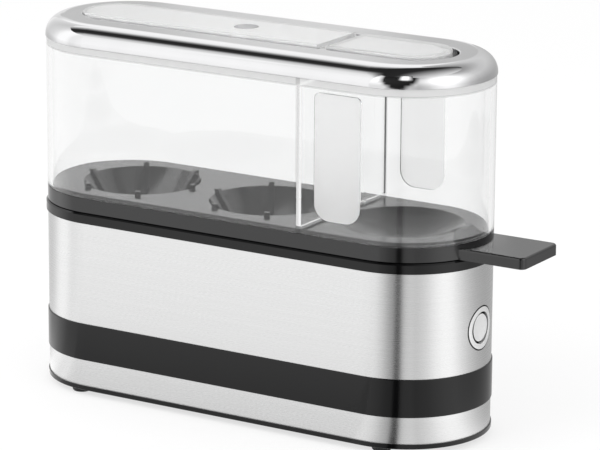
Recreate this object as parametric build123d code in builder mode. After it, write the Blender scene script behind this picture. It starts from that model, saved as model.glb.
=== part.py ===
from build123d import *
import os
from math import cos, radians, sin

os.makedirs("parts", exist_ok=True)

# All sizes are millimetres. X runs along the body towards the handle, Z up from the table.

# Body outline: two round ends joined by straight sides
END_SPACING = 116.6
BODY_RADIUS = 30.0

# Heights of the stacked skins, from the table up
FOOT_HEIGHT = 2.0
PLATE_THICKNESS = 1.8
LOWER_SLEEVE_HEIGHT = 9.6
BAND_HEIGHT = 13.7
UPPER_SLEEVE_HEIGHT = 37.5
COLLAR_HEIGHT = 3.6
RIM_HEIGHT = 5.6
LID_HEIGHT = 55.0
TRIM_HEIGHT = 7.2

PLATE_Z = FOOT_HEIGHT
SLEEVE_Z = PLATE_Z + PLATE_THICKNESS
BAND_Z = SLEEVE_Z + LOWER_SLEEVE_HEIGHT
UPPER_Z = BAND_Z + BAND_HEIGHT
COLLAR_Z = UPPER_Z + UPPER_SLEEVE_HEIGHT
TRAY_Z = COLLAR_Z + COLLAR_HEIGHT
LID_Z = TRAY_Z + RIM_HEIGHT
TRIM_Z = LID_Z + LID_HEIGHT
TOP_Z = TRIM_Z + TRIM_HEIGHT
END_X = END_SPACING / 2
BODY_END = END_X + BODY_RADIUS

# Skins and the housing behind them
SLEEVE_WALL = 0.6
BAND_PROUD = 0.4
COLLAR_PROUD = 0.6
SKIN_CLEARANCE = 0.2
HOUSING_WALL = 2.0
SKIN_INNER = BODY_RADIUS - SLEEVE_WALL
HOUSING_RADIUS = SKIN_INNER - SKIN_CLEARANCE
HOUSING_INNER = HOUSING_RADIUS - HOUSING_WALL
PLATE_LIP = 0.4
PLATE_EDGE = 0.5
BAND_EDGE = 0.3
COLLAR_EDGE = 0.5

# Feet and base screws
FOOT_RADIUS = 3.5
FOOT_TAPER_EDGE = 0.5
FOOT_X_PAST_END = 5.0
FOOT_INSET = 5.5
PEG_RADIUS = 1.6
PEG_LENGTH = 2.6
PEG_CLEARANCE = 0.2
SCREW_END_INSET = 14.0
SCREW_SIDE_INSET = 9.0
SCREW_RADIUS = 1.45
SCREW_CLEARANCE = 0.05
SCREW_HEAD_RADIUS = 2.8
SCREW_HEAD_HEIGHT = 1.8
SCREW_LENGTH = 12.0
HEAD_CLEARANCE = 0.3
SHANK_CLEARANCE = 0.2
HEAD_SINK = 0.4
PAD_RADIUS = 5.0
PAD_HEIGHT = 2.0
BOSS_RADIUS = 3.6
BOSS_HEIGHT = 15.0
RIB_THICKNESS = 2.0
FOOT_POINTS = [
    (x * (END_X + FOOT_X_PAST_END), y * (BODY_RADIUS - FOOT_INSET)) for x in (-1, 1) for y in (-1, 1)
]
SCREW_END_X = BODY_END - SCREW_END_INSET
SCREW_SIDE_Y = BODY_RADIUS - SCREW_SIDE_INSET
SCREW_POINTS = [(-SCREW_END_X, 0), (SCREW_END_X, 0), (0, -SCREW_SIDE_Y), (0, SCREW_SIDE_Y)]

# Water dish, its seal and the ledge that carries them
SPIGOT_DEPTH = 3.4
SPIGOT_WALL = 1.6
SPIGOT_FIT = 0.2
COLLAR_OPENING = HOUSING_INNER - SPIGOT_FIT - SPIGOT_WALL
FLANGE_THICKNESS = 1.0
FLANGE_FIT = 0.4
SEAL_HEIGHT = 1.2
LEDGE_HEIGHT = 1.4
LEDGE_FIT = 0.6
FLANGE_WIDTH = 2.8
DISH_WALL = 1.0
DISH_DEPTH = 8.2
DISH_CORNER = 4.0
FLANGE_TOP = COLLAR_Z - SPIGOT_DEPTH
SEAL_Z = FLANGE_TOP - FLANGE_THICKNESS - SEAL_HEIGHT
FLANGE_RADIUS = HOUSING_INNER - FLANGE_FIT
DISH_RADIUS = FLANGE_RADIUS - FLANGE_WIDTH
LEDGE_INNER = DISH_RADIUS + LEDGE_FIT
DISH_FLOOR = FLANGE_TOP - DISH_DEPTH
DISH_BOTTOM = DISH_FLOOR - DISH_WALL

# Heater parts under the dish
SPREADER_LENGTH = 122.0
SPREADER_MARGIN = 3.7
SPREADER_THICKNESS = 2.0
SPREADER_X = -6.0
HEATER_RADIUS = 3.3
HEATER_GAP = 0.05
HEATER_SIDE_GAP = 1.2
HEATER_FAR_INSET = 26.3
HEATER_NEAR_INSET = 46.3
HEATER_BEND = 7.0
HEATER_TURN_GAP = 0.5
HEATER_DROP = 9.0
PIN_RADIUS = 1.2
PIN_LENGTH = 6.0
THERMOSTAT_RADIUS = 6.5
THERMOSTAT_HEIGHT = 6.5
TAB_WIDTH = 4.0
TAB_THICKNESS = 0.8
TAB_LENGTH = 6.0
TAB_SPREAD = 5.0
CLIP_WIDTH = 6.0
CLIP_THICKNESS = 1.0
CLIP_LENGTH = 28.0
FUSE_RADIUS = 2.0
FUSE_LENGTH = 12.0
FUSE_X = 27.0
LEAD_RADIUS = 0.5
LEAD_LENGTH = 5.0
SPREADER_Z = DISH_BOTTOM - SPREADER_THICKNESS
HEATER_Y = THERMOSTAT_RADIUS + HEATER_SIDE_GAP + HEATER_RADIUS
HEATER_TURN = HEATER_Y - HEATER_TURN_GAP
HEATER_FAR_X = HEATER_FAR_INSET - BODY_END
HEATER_NEAR_X = BODY_END - HEATER_NEAR_INSET
HEATER_Z = SPREADER_Z - HEATER_GAP - HEATER_RADIUS
HEATER_END_Z = HEATER_Z - HEATER_DROP
PIN_END_Z = HEATER_END_Z - PIN_LENGTH
SPREADER_WIDTH = 2 * (HEATER_Y + HEATER_RADIUS + SPREADER_MARGIN)

# Start button in the round end
BUTTON_Z = 41.7
RING_RADIUS = 7.7
RING_PROUD = 0.1
RING_EDGE = 0.2
RING_FIT = 0.3
SPOT_DEPTH = 0.9
BARREL_RADIUS = 6.5
BARREL_LENGTH = 8.6
CAP_RADIUS = 5.0
CAP_CLEARANCE = 0.7
CAP_RECESS = 0.6
CAP_THICKNESS = 3.5
CAP_EDGE = 0.4
STEM_RADIUS = 4.0
COLLET_RADIUS = 6.4
COLLET_THICKNESS = 1.3
COLLET_GAP = 0.3
PUSH_PIN_RADIUS = 1.5
PUSH_PIN_LENGTH = 5.5
PUSH_GAP = 0.3
SWITCH_WIDTH = 6.0
SWITCH_HEIGHT = 3.5
SWITCH_STEM_RADIUS = 1.75
SWITCH_STEM_CLEARANCE = 0.1
SWITCH_STEM_INSIDE = 0.8
SWITCH_WELL = 2.3
SWITCH_STEM_OUTSIDE = 3.5
SPOT_X = END_X + HOUSING_RADIUS - SPOT_DEPTH
RING_FACE = BODY_END + RING_PROUD
CAP_FACE = RING_FACE - CAP_RECESS
CAP_BACK = CAP_FACE - CAP_THICKNESS
BARREL_END = SPOT_X - BARREL_LENGTH
COLLET_FRONT = BARREL_END - COLLET_GAP
COLLET_BACK = COLLET_FRONT - COLLET_THICKNESS
PUSH_END = COLLET_BACK - PUSH_PIN_LENGTH
SWITCH_TIP = PUSH_END - PUSH_GAP
SWITCH_FRONT = SWITCH_TIP - SWITCH_STEM_OUTSIDE
BOARD_FRONT = SWITCH_FRONT - SWITCH_HEIGHT

# Control board on edge behind the button
BOARD_THICKNESS = 1.6
BOARD_LOW = 7.0
BOARD_HIGH = 50.0
BOARD_SIDE_GAP = 1.2
RAIL_DEPTH = 3.0
RAIL_WALL = 1.6
RAIL_FIT = 0.1
RAIL_FLOOR = 2.0
BOARD_BACK = BOARD_FRONT - BOARD_THICKNESS
BOARD_HALF = HOUSING_INNER - BOARD_SIDE_GAP
LIGHT_SIZE = 2.6
LIGHT_EDGE = 0.65
LIGHT_OFFSET = 9.0
BUZZER_RADIUS = 6.0
BUZZER_HEIGHT = 6.5
BUZZER_SIDE_GAP = 5.0
BUZZER_Z = 30.0
RELAY_SIZE = (10.0, 16.0, 12.0)
RELAY_SIDE_GAP = 4.0
RELAY_Z = 28.0
CONNECTOR_SIZE = (8.0, 8.0, 8.0)
RAIL_INNER = BOARD_HALF - RAIL_DEPTH
BUZZER_Y = -(RAIL_INNER - BUZZER_SIDE_GAP - BUZZER_RADIUS)
RELAY_Y = RAIL_INNER - RELAY_SIDE_GAP - RELAY_SIZE[1] / 2

# Mains inlet at the rear and the inner wires
GLAND_X = -40.0
GLAND_BORE = 3.1
GLAND_RADIUS = 4.4
GLAND_CLEARANCE = 0.2
GLAND_FLANGE_RADIUS = 6.0
GLAND_FLANGE = 1.6
GLAND_TAIL = 3.2
NUT_SIDES = 6
NUT_RADIUS = 6.4
NUT_FIT = 0.05
NUT_THICKNESS = 2.6
BLOCK_SIZE = (16.0, 12.0, 10.0)
BLOCK_X = -40.0
WIRE_RADIUS = 1.1
WIRE_Z = 9.0
WIRE_SPACING = 5.0
WIRE_BEND = 8.0
GLAND_Z = BAND_Z + BAND_HEIGHT / 2
BAND_FACE = BODY_RADIUS + BAND_PROUD
LIVE_Y = HEATER_Y + WIRE_SPACING
BLOCK_FACE = BLOCK_X + BLOCK_SIZE[0] / 2
CONNECTOR_FACE = BOARD_BACK - CONNECTOR_SIZE[0]

# Egg tray
RIM_WALL = 3.6
RIM_EDGE = 0.4
DECK_RISE = 1.4
DECK_THICKNESS = 2.0
LID_WALL = 1.8
LID_EDGE = 0.5
LID_FIT = 0.4
SKIRT_FIT = 0.4
SKIRT_WALL = 1.4
SKIRT_DEPTH = 3.0
SEAT_PITCH = 54.5
SEAT_SHIFT = 2.0
SEAT_MARGIN = 6.3
SEAT_HOLE_RADIUS = 13.0
SEAT_DEPTH = 12.2
SEAT_WALL = 1.6
FIN_COUNT = 6
FIN_THICKNESS = 2.0
FIN_STAND = 1.2
FIN_RISE = 1.4
FIN_TIP = 1.2
BOWL_DEPTH = 7.0
BOWL_EDGE = 0.6
HANDLE_LENGTH = 22.4
HANDLE_WIDTH = 25.0
HANDLE_THICKNESS = 4.0
HANDLE_DROP = 1.3
HANDLE_CORNER = 2.0
HANDLE_EDGE = 0.8
LID_INNER = BODY_RADIUS - LID_WALL
DECK_RADIUS = LID_INNER - LID_FIT
SEAT_RADIUS = DECK_RADIUS - SEAT_MARGIN
DECK_TOP = LID_Z + DECK_RISE
SEAT_FLOOR = DECK_TOP - SEAT_DEPTH
EGG_SEATS = [SEAT_SHIFT - SEAT_PITCH, SEAT_SHIFT]
BOWL_X = SEAT_SHIFT + SEAT_PITCH

# Lid shell, its frame and its window
ROOF_THICKNESS = 2.8
PARTITION_X = 31.6
PARTITION_WALL = 2.0
PARTITION_GAP = 1.0
TRIM_PROUD = 0.3
TRIM_ROUND = 7.0
TRIM_WALL = 1.2
TRIM_INNER_EDGE = 0.4
WINDOW_SIDE_FRAME = 16.7
WINDOW_END_FRAME = 12.5
WINDOW_FIT = 0.2
WINDOW_SEAT = 2.0
WINDOW_PROUD = 0.85
WINDOW_THICKNESS = 2.0
WINDOW_WALL = 1.6
PARTING_X = 30.6
PARTING_GAP = 0.8
GROOVE_WIDTH = 3.4
GROOVE_DEPTH = 1.2
WINDOW_EDGE = 0.8
VENT_RADIUS = 4.4
VENT_X = -8.3
VENT_Y = 0.0
GRIP_X = 47.5
GRIP_WIDTH = 18.4
GRIP_LOW = 5.9
GRIP_HIGH_GAP = 1.5
GRIP_DEPTH = 0.8
GRIP_CORNER = 6.0
GRIP_TOP_CORNER = 2.0
GRIP_FIT = 0.1
ROOF_Z = TRIM_Z - ROOF_THICKNESS
WINDOW_RADIUS = BODY_RADIUS - WINDOW_SIDE_FRAME
WINDOW_SPACING = 2 * (BODY_END - WINDOW_END_FRAME - WINDOW_RADIUS)
WINDOW_TOP = TOP_Z + WINDOW_PROUD
GRIP_BOTTOM = LID_Z + GRIP_LOW
GRIP_HEIGHT = ROOF_Z - GRIP_HIGH_GAP - GRIP_BOTTOM

# Measuring cup, stored head down in the lid
CUP_LENGTH = 14.85
CUP_WALL = 1.2
CUP_SHOULDER = 2.2
CUP_MOUTH_EDGE = 0.4
FINGER_GAP = 2.4
CUP_MOUTH_Z = WINDOW_TOP - CUP_LENGTH


def slot_block(spacing, radius, z_low, z_high, mode=Mode.ADD):
    """Upright block with a round-ended outline."""
    with BuildSketch(Plane.XY.offset(z_low)) as outline:
        SlotCenterToCenter(spacing, 2 * radius)
    extrude(outline.sketch, amount=z_high - z_low, mode=mode)


def slot_ring(outer, inner, z_low, z_high):
    """Upright wall that follows the body's outline between two end radii."""
    with BuildSketch(Plane.XY.offset(z_low)) as outline:
        SlotCenterToCenter(END_SPACING, 2 * outer)
        SlotCenterToCenter(END_SPACING, 2 * inner, mode=Mode.SUBTRACT)
    extrude(outline.sketch, amount=z_high - z_low)


def cylinder_x(radius, x_low, x_high, y, z, mode=Mode.ADD):
    """Cylinder along X."""
    with BuildSketch(Plane.YZ.offset(x_low)) as disc:
        with Locations((y, z)):
            Circle(radius)
    extrude(disc.sketch, amount=x_high - x_low, mode=mode)


def cylinder_y(radius, y_low, y_high, x, z, mode=Mode.ADD):
    """Cylinder along Y."""
    with BuildSketch(Plane.XZ.offset(-y_high)) as disc:
        with Locations((x, z)):
            Circle(radius)
    extrude(disc.sketch, amount=y_high - y_low, mode=mode)


def cylinders_z(radius, z_low, z_high, points, mode=Mode.ADD):
    """Upright cylinders at a list of points."""
    with BuildSketch(Plane.XY.offset(z_low)) as discs:
        with Locations(*points):
            Circle(radius)
    extrude(discs.sketch, amount=z_high - z_low, mode=mode)


def block(x_span, y_span, z_span, mode=Mode.ADD):
    """Box between low and high values along each axis."""
    with Locations((x_span[0], y_span[0], z_span[0])):
        Box(
            x_span[1] - x_span[0],
            y_span[1] - y_span[0],
            z_span[1] - z_span[0],
            align=(Align.MIN, Align.MIN, Align.MIN),
            mode=mode,
        )


def radial_plane(x, angle):
    """Upright plane through (x, 0) whose own X points outwards at the angle and Y points up."""
    out = (cos(radians(angle)), sin(radians(angle)), 0)
    return Plane(origin=(x, 0, 0), x_dir=out, z_dir=(out[1], -out[0], 0))


def wire_tube(points, bend):
    """Insulated wire along straight runs joined by round bends."""
    with BuildLine() as route:
        FilletPolyline(*points, radius=bend)
    with BuildSketch(Plane(route.wire() @ 0, z_dir=route.wire() % 0)) as section:
        Circle(WIRE_RADIUS)
    sweep(section.sketch, path=route.wire())


def window_sketch(inset, z):
    """Outline of the fixed part of the lid window, drawn in by inset on every side."""
    radius = WINDOW_RADIUS - WINDOW_FIT - inset
    with BuildSketch(Plane.XY.offset(z)) as outline:
        SlotCenterToCenter(WINDOW_SPACING, 2 * radius)
        with Locations((PARTING_X - PARTING_GAP / 2 - inset, 0)):
            Rectangle(2 * BODY_END, 2 * BODY_RADIUS, align=(Align.MAX, Align.CENTER), mode=Mode.INTERSECT)
    return outline.sketch


def cup_sketch(inset, z):
    """D-shaped outline of the cup: the window's outline, set back from its tip for a fingernail."""
    radius = WINDOW_RADIUS - WINDOW_FIT - inset
    with BuildSketch(Plane.XY.offset(z)) as outline:
        SlotCenterToCenter(WINDOW_SPACING, 2 * radius)
        with Locations((-FINGER_GAP, 0)):
            SlotCenterToCenter(WINDOW_SPACING, 2 * radius, mode=Mode.INTERSECT)
        with Locations((PARTING_X + PARTING_GAP / 2 + inset, 0)):
            Rectangle(2 * BODY_END, 2 * BODY_RADIUS, align=(Align.MIN, Align.CENTER), mode=Mode.INTERSECT)
    return outline.sketch


def parting_groove():
    """Shallow groove across the top where the window and the cup meet."""
    block(
        (PARTING_X - GROOVE_WIDTH / 2, PARTING_X + GROOVE_WIDTH / 2),
        (-BODY_RADIUS, BODY_RADIUS),
        (WINDOW_TOP - GROOVE_DEPTH, WINDOW_TOP),
        mode=Mode.SUBTRACT,
    )


def grip_sketch(y, shrink):
    """Upright U-shaped outline of a grip panel, on the plane at y that faces -Y."""
    with BuildSketch(Plane.XZ.offset(-y)) as outline:
        with Locations((GRIP_X, GRIP_BOTTOM + GRIP_HEIGHT / 2)):
            Rectangle(GRIP_WIDTH - 2 * shrink, GRIP_HEIGHT - 2 * shrink)
        fillet(outline.vertices().group_by(Axis.Y)[0], GRIP_CORNER - shrink)
        fillet(outline.vertices().group_by(Axis.Y)[-1], GRIP_TOP_CORNER - shrink)
    return outline.sketch


# Base plate: bottom cover with sunk screw heads and holes for the feet's pegs
with BuildPart() as base_plate:
    slot_block(END_SPACING, BODY_RADIUS + PLATE_LIP, PLATE_Z, SLEEVE_Z)
    fillet(base_plate.edges().group_by(Axis.Z)[0], PLATE_EDGE)
    cylinders_z(PAD_RADIUS, SLEEVE_Z, SLEEVE_Z + PAD_HEIGHT, SCREW_POINTS)
    cylinders_z(
        SCREW_HEAD_RADIUS + HEAD_CLEARANCE,
        PLATE_Z,
        PLATE_Z + HEAD_SINK + SCREW_HEAD_HEIGHT,
        SCREW_POINTS,
        mode=Mode.SUBTRACT,
    )
    cylinders_z(
        SCREW_RADIUS + SHANK_CLEARANCE, PLATE_Z, SLEEVE_Z + PAD_HEIGHT, SCREW_POINTS, mode=Mode.SUBTRACT
    )
    cylinders_z(PEG_RADIUS + PEG_CLEARANCE, PLATE_Z, SLEEVE_Z, FOOT_POINTS, mode=Mode.SUBTRACT)
base_plate.part.label = "base_plate"
export_step(base_plate.part, "parts/base_plate.step")

# Rubber feet: a pad with a peg pushed through the base plate
with BuildPart() as rubber_feet:
    cylinders_z(FOOT_RADIUS, 0, FOOT_HEIGHT, FOOT_POINTS)
    chamfer(rubber_feet.edges().group_by(Axis.Z)[0], FOOT_TAPER_EDGE)
    cylinders_z(PEG_RADIUS, FOOT_HEIGHT, FOOT_HEIGHT + PEG_LENGTH, FOOT_POINTS)
rubber_feet.part.label = "rubber_feet"
export_step(rubber_feet.part, "parts/rubber_feet.step")

# Base screws
HEAD_TOP = PLATE_Z + HEAD_SINK + SCREW_HEAD_HEIGHT
with BuildPart() as base_screws:
    cylinders_z(SCREW_HEAD_RADIUS, PLATE_Z + HEAD_SINK, HEAD_TOP, SCREW_POINTS)
    cylinders_z(SCREW_RADIUS, HEAD_TOP, HEAD_TOP + SCREW_LENGTH, SCREW_POINTS)
base_screws.part.label = "base_screws"
export_step(base_screws.part, "parts/base_screws.step")

# Inner housing: the wall that carries the skins, the dish ledge, the screw bosses and the board rails
BOSS_SPAN = (SLEEVE_Z + PAD_HEIGHT, SLEEVE_Z + PAD_HEIGHT + BOSS_HEIGHT)
RIB_SPAN = (-RIB_THICKNESS / 2, RIB_THICKNESS / 2)
RAIL_SPAN = (BOARD_BACK - RAIL_WALL, BOARD_FRONT + RAIL_WALL)
RAIL_HEIGHT_SPAN = (BOARD_LOW - RAIL_FLOOR, BOARD_HIGH)
with BuildPart() as inner_housing:
    for side in (-1, 1):
        block(sorted((side * SCREW_END_X, side * BODY_END)), RIB_SPAN, BOSS_SPAN)
        block(RIB_SPAN, sorted((side * SCREW_SIDE_Y, side * BODY_RADIUS)), BOSS_SPAN)
        block(RAIL_SPAN, sorted((side * RAIL_INNER, side * BODY_RADIUS)), RAIL_HEIGHT_SPAN)
    cylinders_z(BOSS_RADIUS, *BOSS_SPAN, SCREW_POINTS)
    slot_block(END_SPACING, HOUSING_RADIUS, SLEEVE_Z, COLLAR_Z, mode=Mode.INTERSECT)
    slot_ring(HOUSING_RADIUS, HOUSING_INNER, SLEEVE_Z, COLLAR_Z)
    slot_ring(HOUSING_RADIUS, LEDGE_INNER, SEAL_Z - LEDGE_HEIGHT, SEAL_Z)
    block(
        (BOARD_BACK - RAIL_FIT, BOARD_FRONT + RAIL_FIT),
        (-BOARD_HALF - RAIL_FIT, BOARD_HALF + RAIL_FIT),
        (BOARD_LOW, BOARD_HIGH),
        mode=Mode.SUBTRACT,
    )
    cylinders_z(SCREW_RADIUS + SCREW_CLEARANCE, *BOSS_SPAN, SCREW_POINTS, mode=Mode.SUBTRACT)
    cylinder_x(RING_RADIUS + RING_FIT, SPOT_X, BODY_END, 0, BUTTON_Z, mode=Mode.SUBTRACT)
    cylinder_x(BARREL_RADIUS + RING_FIT, END_X, BODY_END, 0, BUTTON_Z, mode=Mode.SUBTRACT)
    cylinder_y(GLAND_RADIUS + GLAND_CLEARANCE, 0, BODY_RADIUS, GLAND_X, GLAND_Z, mode=Mode.SUBTRACT)
inner_housing.part.label = "inner_housing"
export_step(inner_housing.part, "parts/inner_housing.step")

# Lower steel sleeve
with BuildPart() as lower_sleeve:
    slot_ring(BODY_RADIUS, SKIN_INNER, SLEEVE_Z, BAND_Z)
lower_sleeve.part.label = "lower_sleeve"
export_step(lower_sleeve.part, "parts/lower_sleeve.step")

# Black trim band, a little proud of the steel, with the mains inlet's hole at the rear
with BuildPart() as trim_band:
    slot_block(END_SPACING, BAND_FACE, BAND_Z, UPPER_Z)
    fillet(trim_band.edges().group_by(Axis.Z)[0] + trim_band.edges().group_by(Axis.Z)[-1], BAND_EDGE)
    slot_block(END_SPACING, SKIN_INNER, BAND_Z, UPPER_Z, mode=Mode.SUBTRACT)
    cylinder_y(GLAND_RADIUS + GLAND_CLEARANCE, 0, BAND_FACE, GLAND_X, GLAND_Z, mode=Mode.SUBTRACT)
trim_band.part.label = "trim_band"
export_step(trim_band.part, "parts/trim_band.step")

# Upper steel sleeve with the button ring's hole in its round end
with BuildPart() as upper_sleeve:
    slot_ring(BODY_RADIUS, SKIN_INNER, UPPER_Z, COLLAR_Z)
    cylinder_x(RING_RADIUS + RING_FIT, END_X, BODY_END, 0, BUTTON_Z, mode=Mode.SUBTRACT)
upper_sleeve.part.label = "upper_sleeve"
export_step(upper_sleeve.part, "parts/upper_sleeve.step")

# Collar: closes the steel at the top, and its spigot holds the dish flange down
with BuildPart() as collar:
    slot_block(END_SPACING, BODY_RADIUS + COLLAR_PROUD, COLLAR_Z, TRAY_Z)
    chamfer(collar.edges().group_by(Axis.Z)[-1], COLLAR_EDGE)
    slot_block(END_SPACING, COLLAR_OPENING + SPIGOT_WALL, FLANGE_TOP, COLLAR_Z)
    slot_block(END_SPACING, COLLAR_OPENING, FLANGE_TOP, TRAY_Z, mode=Mode.SUBTRACT)
collar.part.label = "collar"
export_step(collar.part, "parts/collar.step")

# Hollow of the heating dish
with BuildPart() as dish_hollow:
    slot_block(END_SPACING, DISH_RADIUS - DISH_WALL, DISH_FLOOR, FLANGE_TOP)
    fillet(dish_hollow.edges().group_by(Axis.Z)[0], DISH_CORNER - DISH_WALL)

# Heating dish: the pan that holds the water
with BuildPart() as heating_dish:
    slot_block(END_SPACING, DISH_RADIUS, DISH_BOTTOM, FLANGE_TOP)
    fillet(heating_dish.edges().group_by(Axis.Z)[0], DISH_CORNER)
    slot_block(END_SPACING, FLANGE_RADIUS, FLANGE_TOP - FLANGE_THICKNESS, FLANGE_TOP)
    add(dish_hollow.part, mode=Mode.SUBTRACT)
heating_dish.part.label = "heating_dish"
export_step(heating_dish.part, "parts/heating_dish.step")

# Dish seal between the flange and the ledge
with BuildPart() as dish_seal:
    slot_ring(FLANGE_RADIUS, LEDGE_INNER, SEAL_Z, SEAL_Z + SEAL_HEIGHT)
dish_seal.part.label = "dish_seal"
export_step(dish_seal.part, "parts/dish_seal.step")

# Heat spreader under the dish
with BuildPart() as heat_spreader:
    with BuildSketch(Plane.XY.offset(SPREADER_Z)):
        with Locations((SPREADER_X, 0)):
            SlotOverall(SPREADER_LENGTH, SPREADER_WIDTH)
    extrude(amount=SPREADER_THICKNESS)
heat_spreader.part.label = "heat_spreader"
export_step(heat_spreader.part, "parts/heat_spreader.step")

# Heating element: one sheathed tube in a long loop, both ends turned down
with BuildPart() as heating_element:
    with BuildLine() as loop:
        FilletPolyline(
            (HEATER_NEAR_X, HEATER_Y, HEATER_END_Z),
            (HEATER_NEAR_X, HEATER_Y, HEATER_Z),
            (HEATER_FAR_X, HEATER_Y, HEATER_Z),
            (HEATER_FAR_X, -HEATER_Y, HEATER_Z),
            (HEATER_NEAR_X, -HEATER_Y, HEATER_Z),
            (HEATER_NEAR_X, -HEATER_Y, HEATER_END_Z),
            radius=[HEATER_BEND, HEATER_TURN, HEATER_TURN, HEATER_BEND],
        )
    with BuildSketch(Plane(loop.wire() @ 0, z_dir=loop.wire() % 0)):
        Circle(HEATER_RADIUS)
    sweep()
heating_element.part.label = "heating_element"
export_step(heating_element.part, "parts/heating_element.step")

# Heater pins in the element's two ends
PIN_POINTS = [(HEATER_NEAR_X, -HEATER_Y), (HEATER_NEAR_X, HEATER_Y)]
with BuildPart() as heater_pins:
    cylinders_z(PIN_RADIUS, PIN_END_Z, HEATER_END_Z, PIN_POINTS)
heater_pins.part.label = "heater_pins"
export_step(heater_pins.part, "parts/heater_pins.step")

# Thermostat pressed against the spreader, with its two blade terminals
THERMOSTAT_Z = SPREADER_Z - THERMOSTAT_HEIGHT
with BuildPart() as thermostat:
    cylinders_z(THERMOSTAT_RADIUS, THERMOSTAT_Z, SPREADER_Z, [(0, 0)])
    for side in (-1, 1):
        blade_y = (side * TAB_SPREAD - TAB_THICKNESS / 2, side * TAB_SPREAD + TAB_THICKNESS / 2)
        block((-TAB_WIDTH / 2, TAB_WIDTH / 2), blade_y, (THERMOSTAT_Z - TAB_LENGTH, THERMOSTAT_Z))
thermostat.part.label = "thermostat"
export_step(thermostat.part, "parts/thermostat.step")

# Thermostat clip: a strip bent up to the spreader at both ends
CLIP_Z = THERMOSTAT_Z - CLIP_THICKNESS
with BuildPart() as thermostat_clip:
    block((-CLIP_LENGTH / 2, CLIP_LENGTH / 2), (-CLIP_WIDTH / 2, CLIP_WIDTH / 2), (CLIP_Z, SPREADER_Z))
    block(
        (-CLIP_LENGTH / 2 + CLIP_THICKNESS, CLIP_LENGTH / 2 - CLIP_THICKNESS),
        (-CLIP_WIDTH / 2, CLIP_WIDTH / 2),
        (THERMOSTAT_Z, SPREADER_Z),
        mode=Mode.SUBTRACT,
    )
thermostat_clip.part.label = "thermostat_clip"
export_step(thermostat_clip.part, "parts/thermostat_clip.step")

# Thermal fuse lying against the spreader
FUSE_Z = SPREADER_Z - HEATER_GAP - FUSE_RADIUS
with BuildPart() as thermal_fuse:
    cylinder_x(FUSE_RADIUS, FUSE_X - FUSE_LENGTH / 2, FUSE_X + FUSE_LENGTH / 2, 0, FUSE_Z)
    cylinder_x(
        LEAD_RADIUS,
        FUSE_X - FUSE_LENGTH / 2 - LEAD_LENGTH,
        FUSE_X + FUSE_LENGTH / 2 + LEAD_LENGTH,
        0,
        FUSE_Z,
    )
thermal_fuse.part.label = "thermal_fuse"
export_step(thermal_fuse.part, "parts/thermal_fuse.step")

# Control board standing in the housing's two rails
with BuildPart() as control_board:
    block((BOARD_BACK, BOARD_FRONT), (-BOARD_HALF, BOARD_HALF), (BOARD_LOW, BOARD_HIGH))
control_board.part.label = "control_board"
export_step(control_board.part, "parts/control_board.step")

# Tact switch behind the button, with a well for its own plunger
SWITCH_SPAN = (-SWITCH_WIDTH / 2, SWITCH_WIDTH / 2)
with BuildPart() as tact_switch:
    block(
        (BOARD_FRONT, SWITCH_FRONT),
        SWITCH_SPAN,
        (BUTTON_Z - SWITCH_WIDTH / 2, BUTTON_Z + SWITCH_WIDTH / 2),
    )
    cylinder_x(
        SWITCH_STEM_RADIUS + SWITCH_STEM_CLEARANCE,
        SWITCH_FRONT - SWITCH_WELL,
        SWITCH_FRONT,
        0,
        BUTTON_Z,
        mode=Mode.SUBTRACT,
    )
tact_switch.part.label = "tact_switch"
export_step(tact_switch.part, "parts/tact_switch.step")

# Switch plunger, pushed by the button
with BuildPart() as switch_plunger:
    cylinder_x(SWITCH_STEM_RADIUS, SWITCH_FRONT - SWITCH_STEM_INSIDE, SWITCH_TIP, 0, BUTTON_Z)
switch_plunger.part.label = "switch_plunger"
export_step(switch_plunger.part, "parts/switch_plunger.step")

# Indicator light beside the switch
with BuildPart() as indicator_light:
    cylinder_x(LIGHT_SIZE / 2, BOARD_FRONT, BOARD_FRONT + LIGHT_SIZE, LIGHT_OFFSET, BUTTON_Z)
    fillet(indicator_light.edges().sort_by(Axis.X)[-1], LIGHT_EDGE)
indicator_light.part.label = "indicator_light"
export_step(indicator_light.part, "parts/indicator_light.step")

# Buzzer on the back of the board
with BuildPart() as buzzer:
    cylinder_x(BUZZER_RADIUS, BOARD_BACK - BUZZER_HEIGHT, BOARD_BACK, BUZZER_Y, BUZZER_Z)
buzzer.part.label = "buzzer"
export_step(buzzer.part, "parts/buzzer.step")

# Power relay on the back of the board
with BuildPart() as power_relay:
    with Locations((BOARD_BACK, RELAY_Y, RELAY_Z)):
        Box(*RELAY_SIZE, align=(Align.MAX, Align.CENTER, Align.CENTER))
power_relay.part.label = "power_relay"
export_step(power_relay.part, "parts/power_relay.step")

# Board connectors for the live wire and the heater wire
with BuildPart() as board_connectors:
    with Locations((BOARD_BACK, LIVE_Y, WIRE_Z), (BOARD_BACK, -HEATER_Y, WIRE_Z)):
        Box(*CONNECTOR_SIZE, align=(Align.MAX, Align.CENTER, Align.CENTER))
board_connectors.part.label = "board_connectors"
export_step(board_connectors.part, "parts/board_connectors.step")

# Terminal block on the base plate, next to the inlet
with BuildPart() as terminal_block:
    with Locations((BLOCK_X, (HEATER_Y + LIVE_Y) / 2, SLEEVE_Z)):
        Box(*BLOCK_SIZE, align=(Align.CENTER, Align.CENTER, Align.MIN))
terminal_block.part.label = "terminal_block"
export_step(terminal_block.part, "parts/terminal_block.step")

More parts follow.
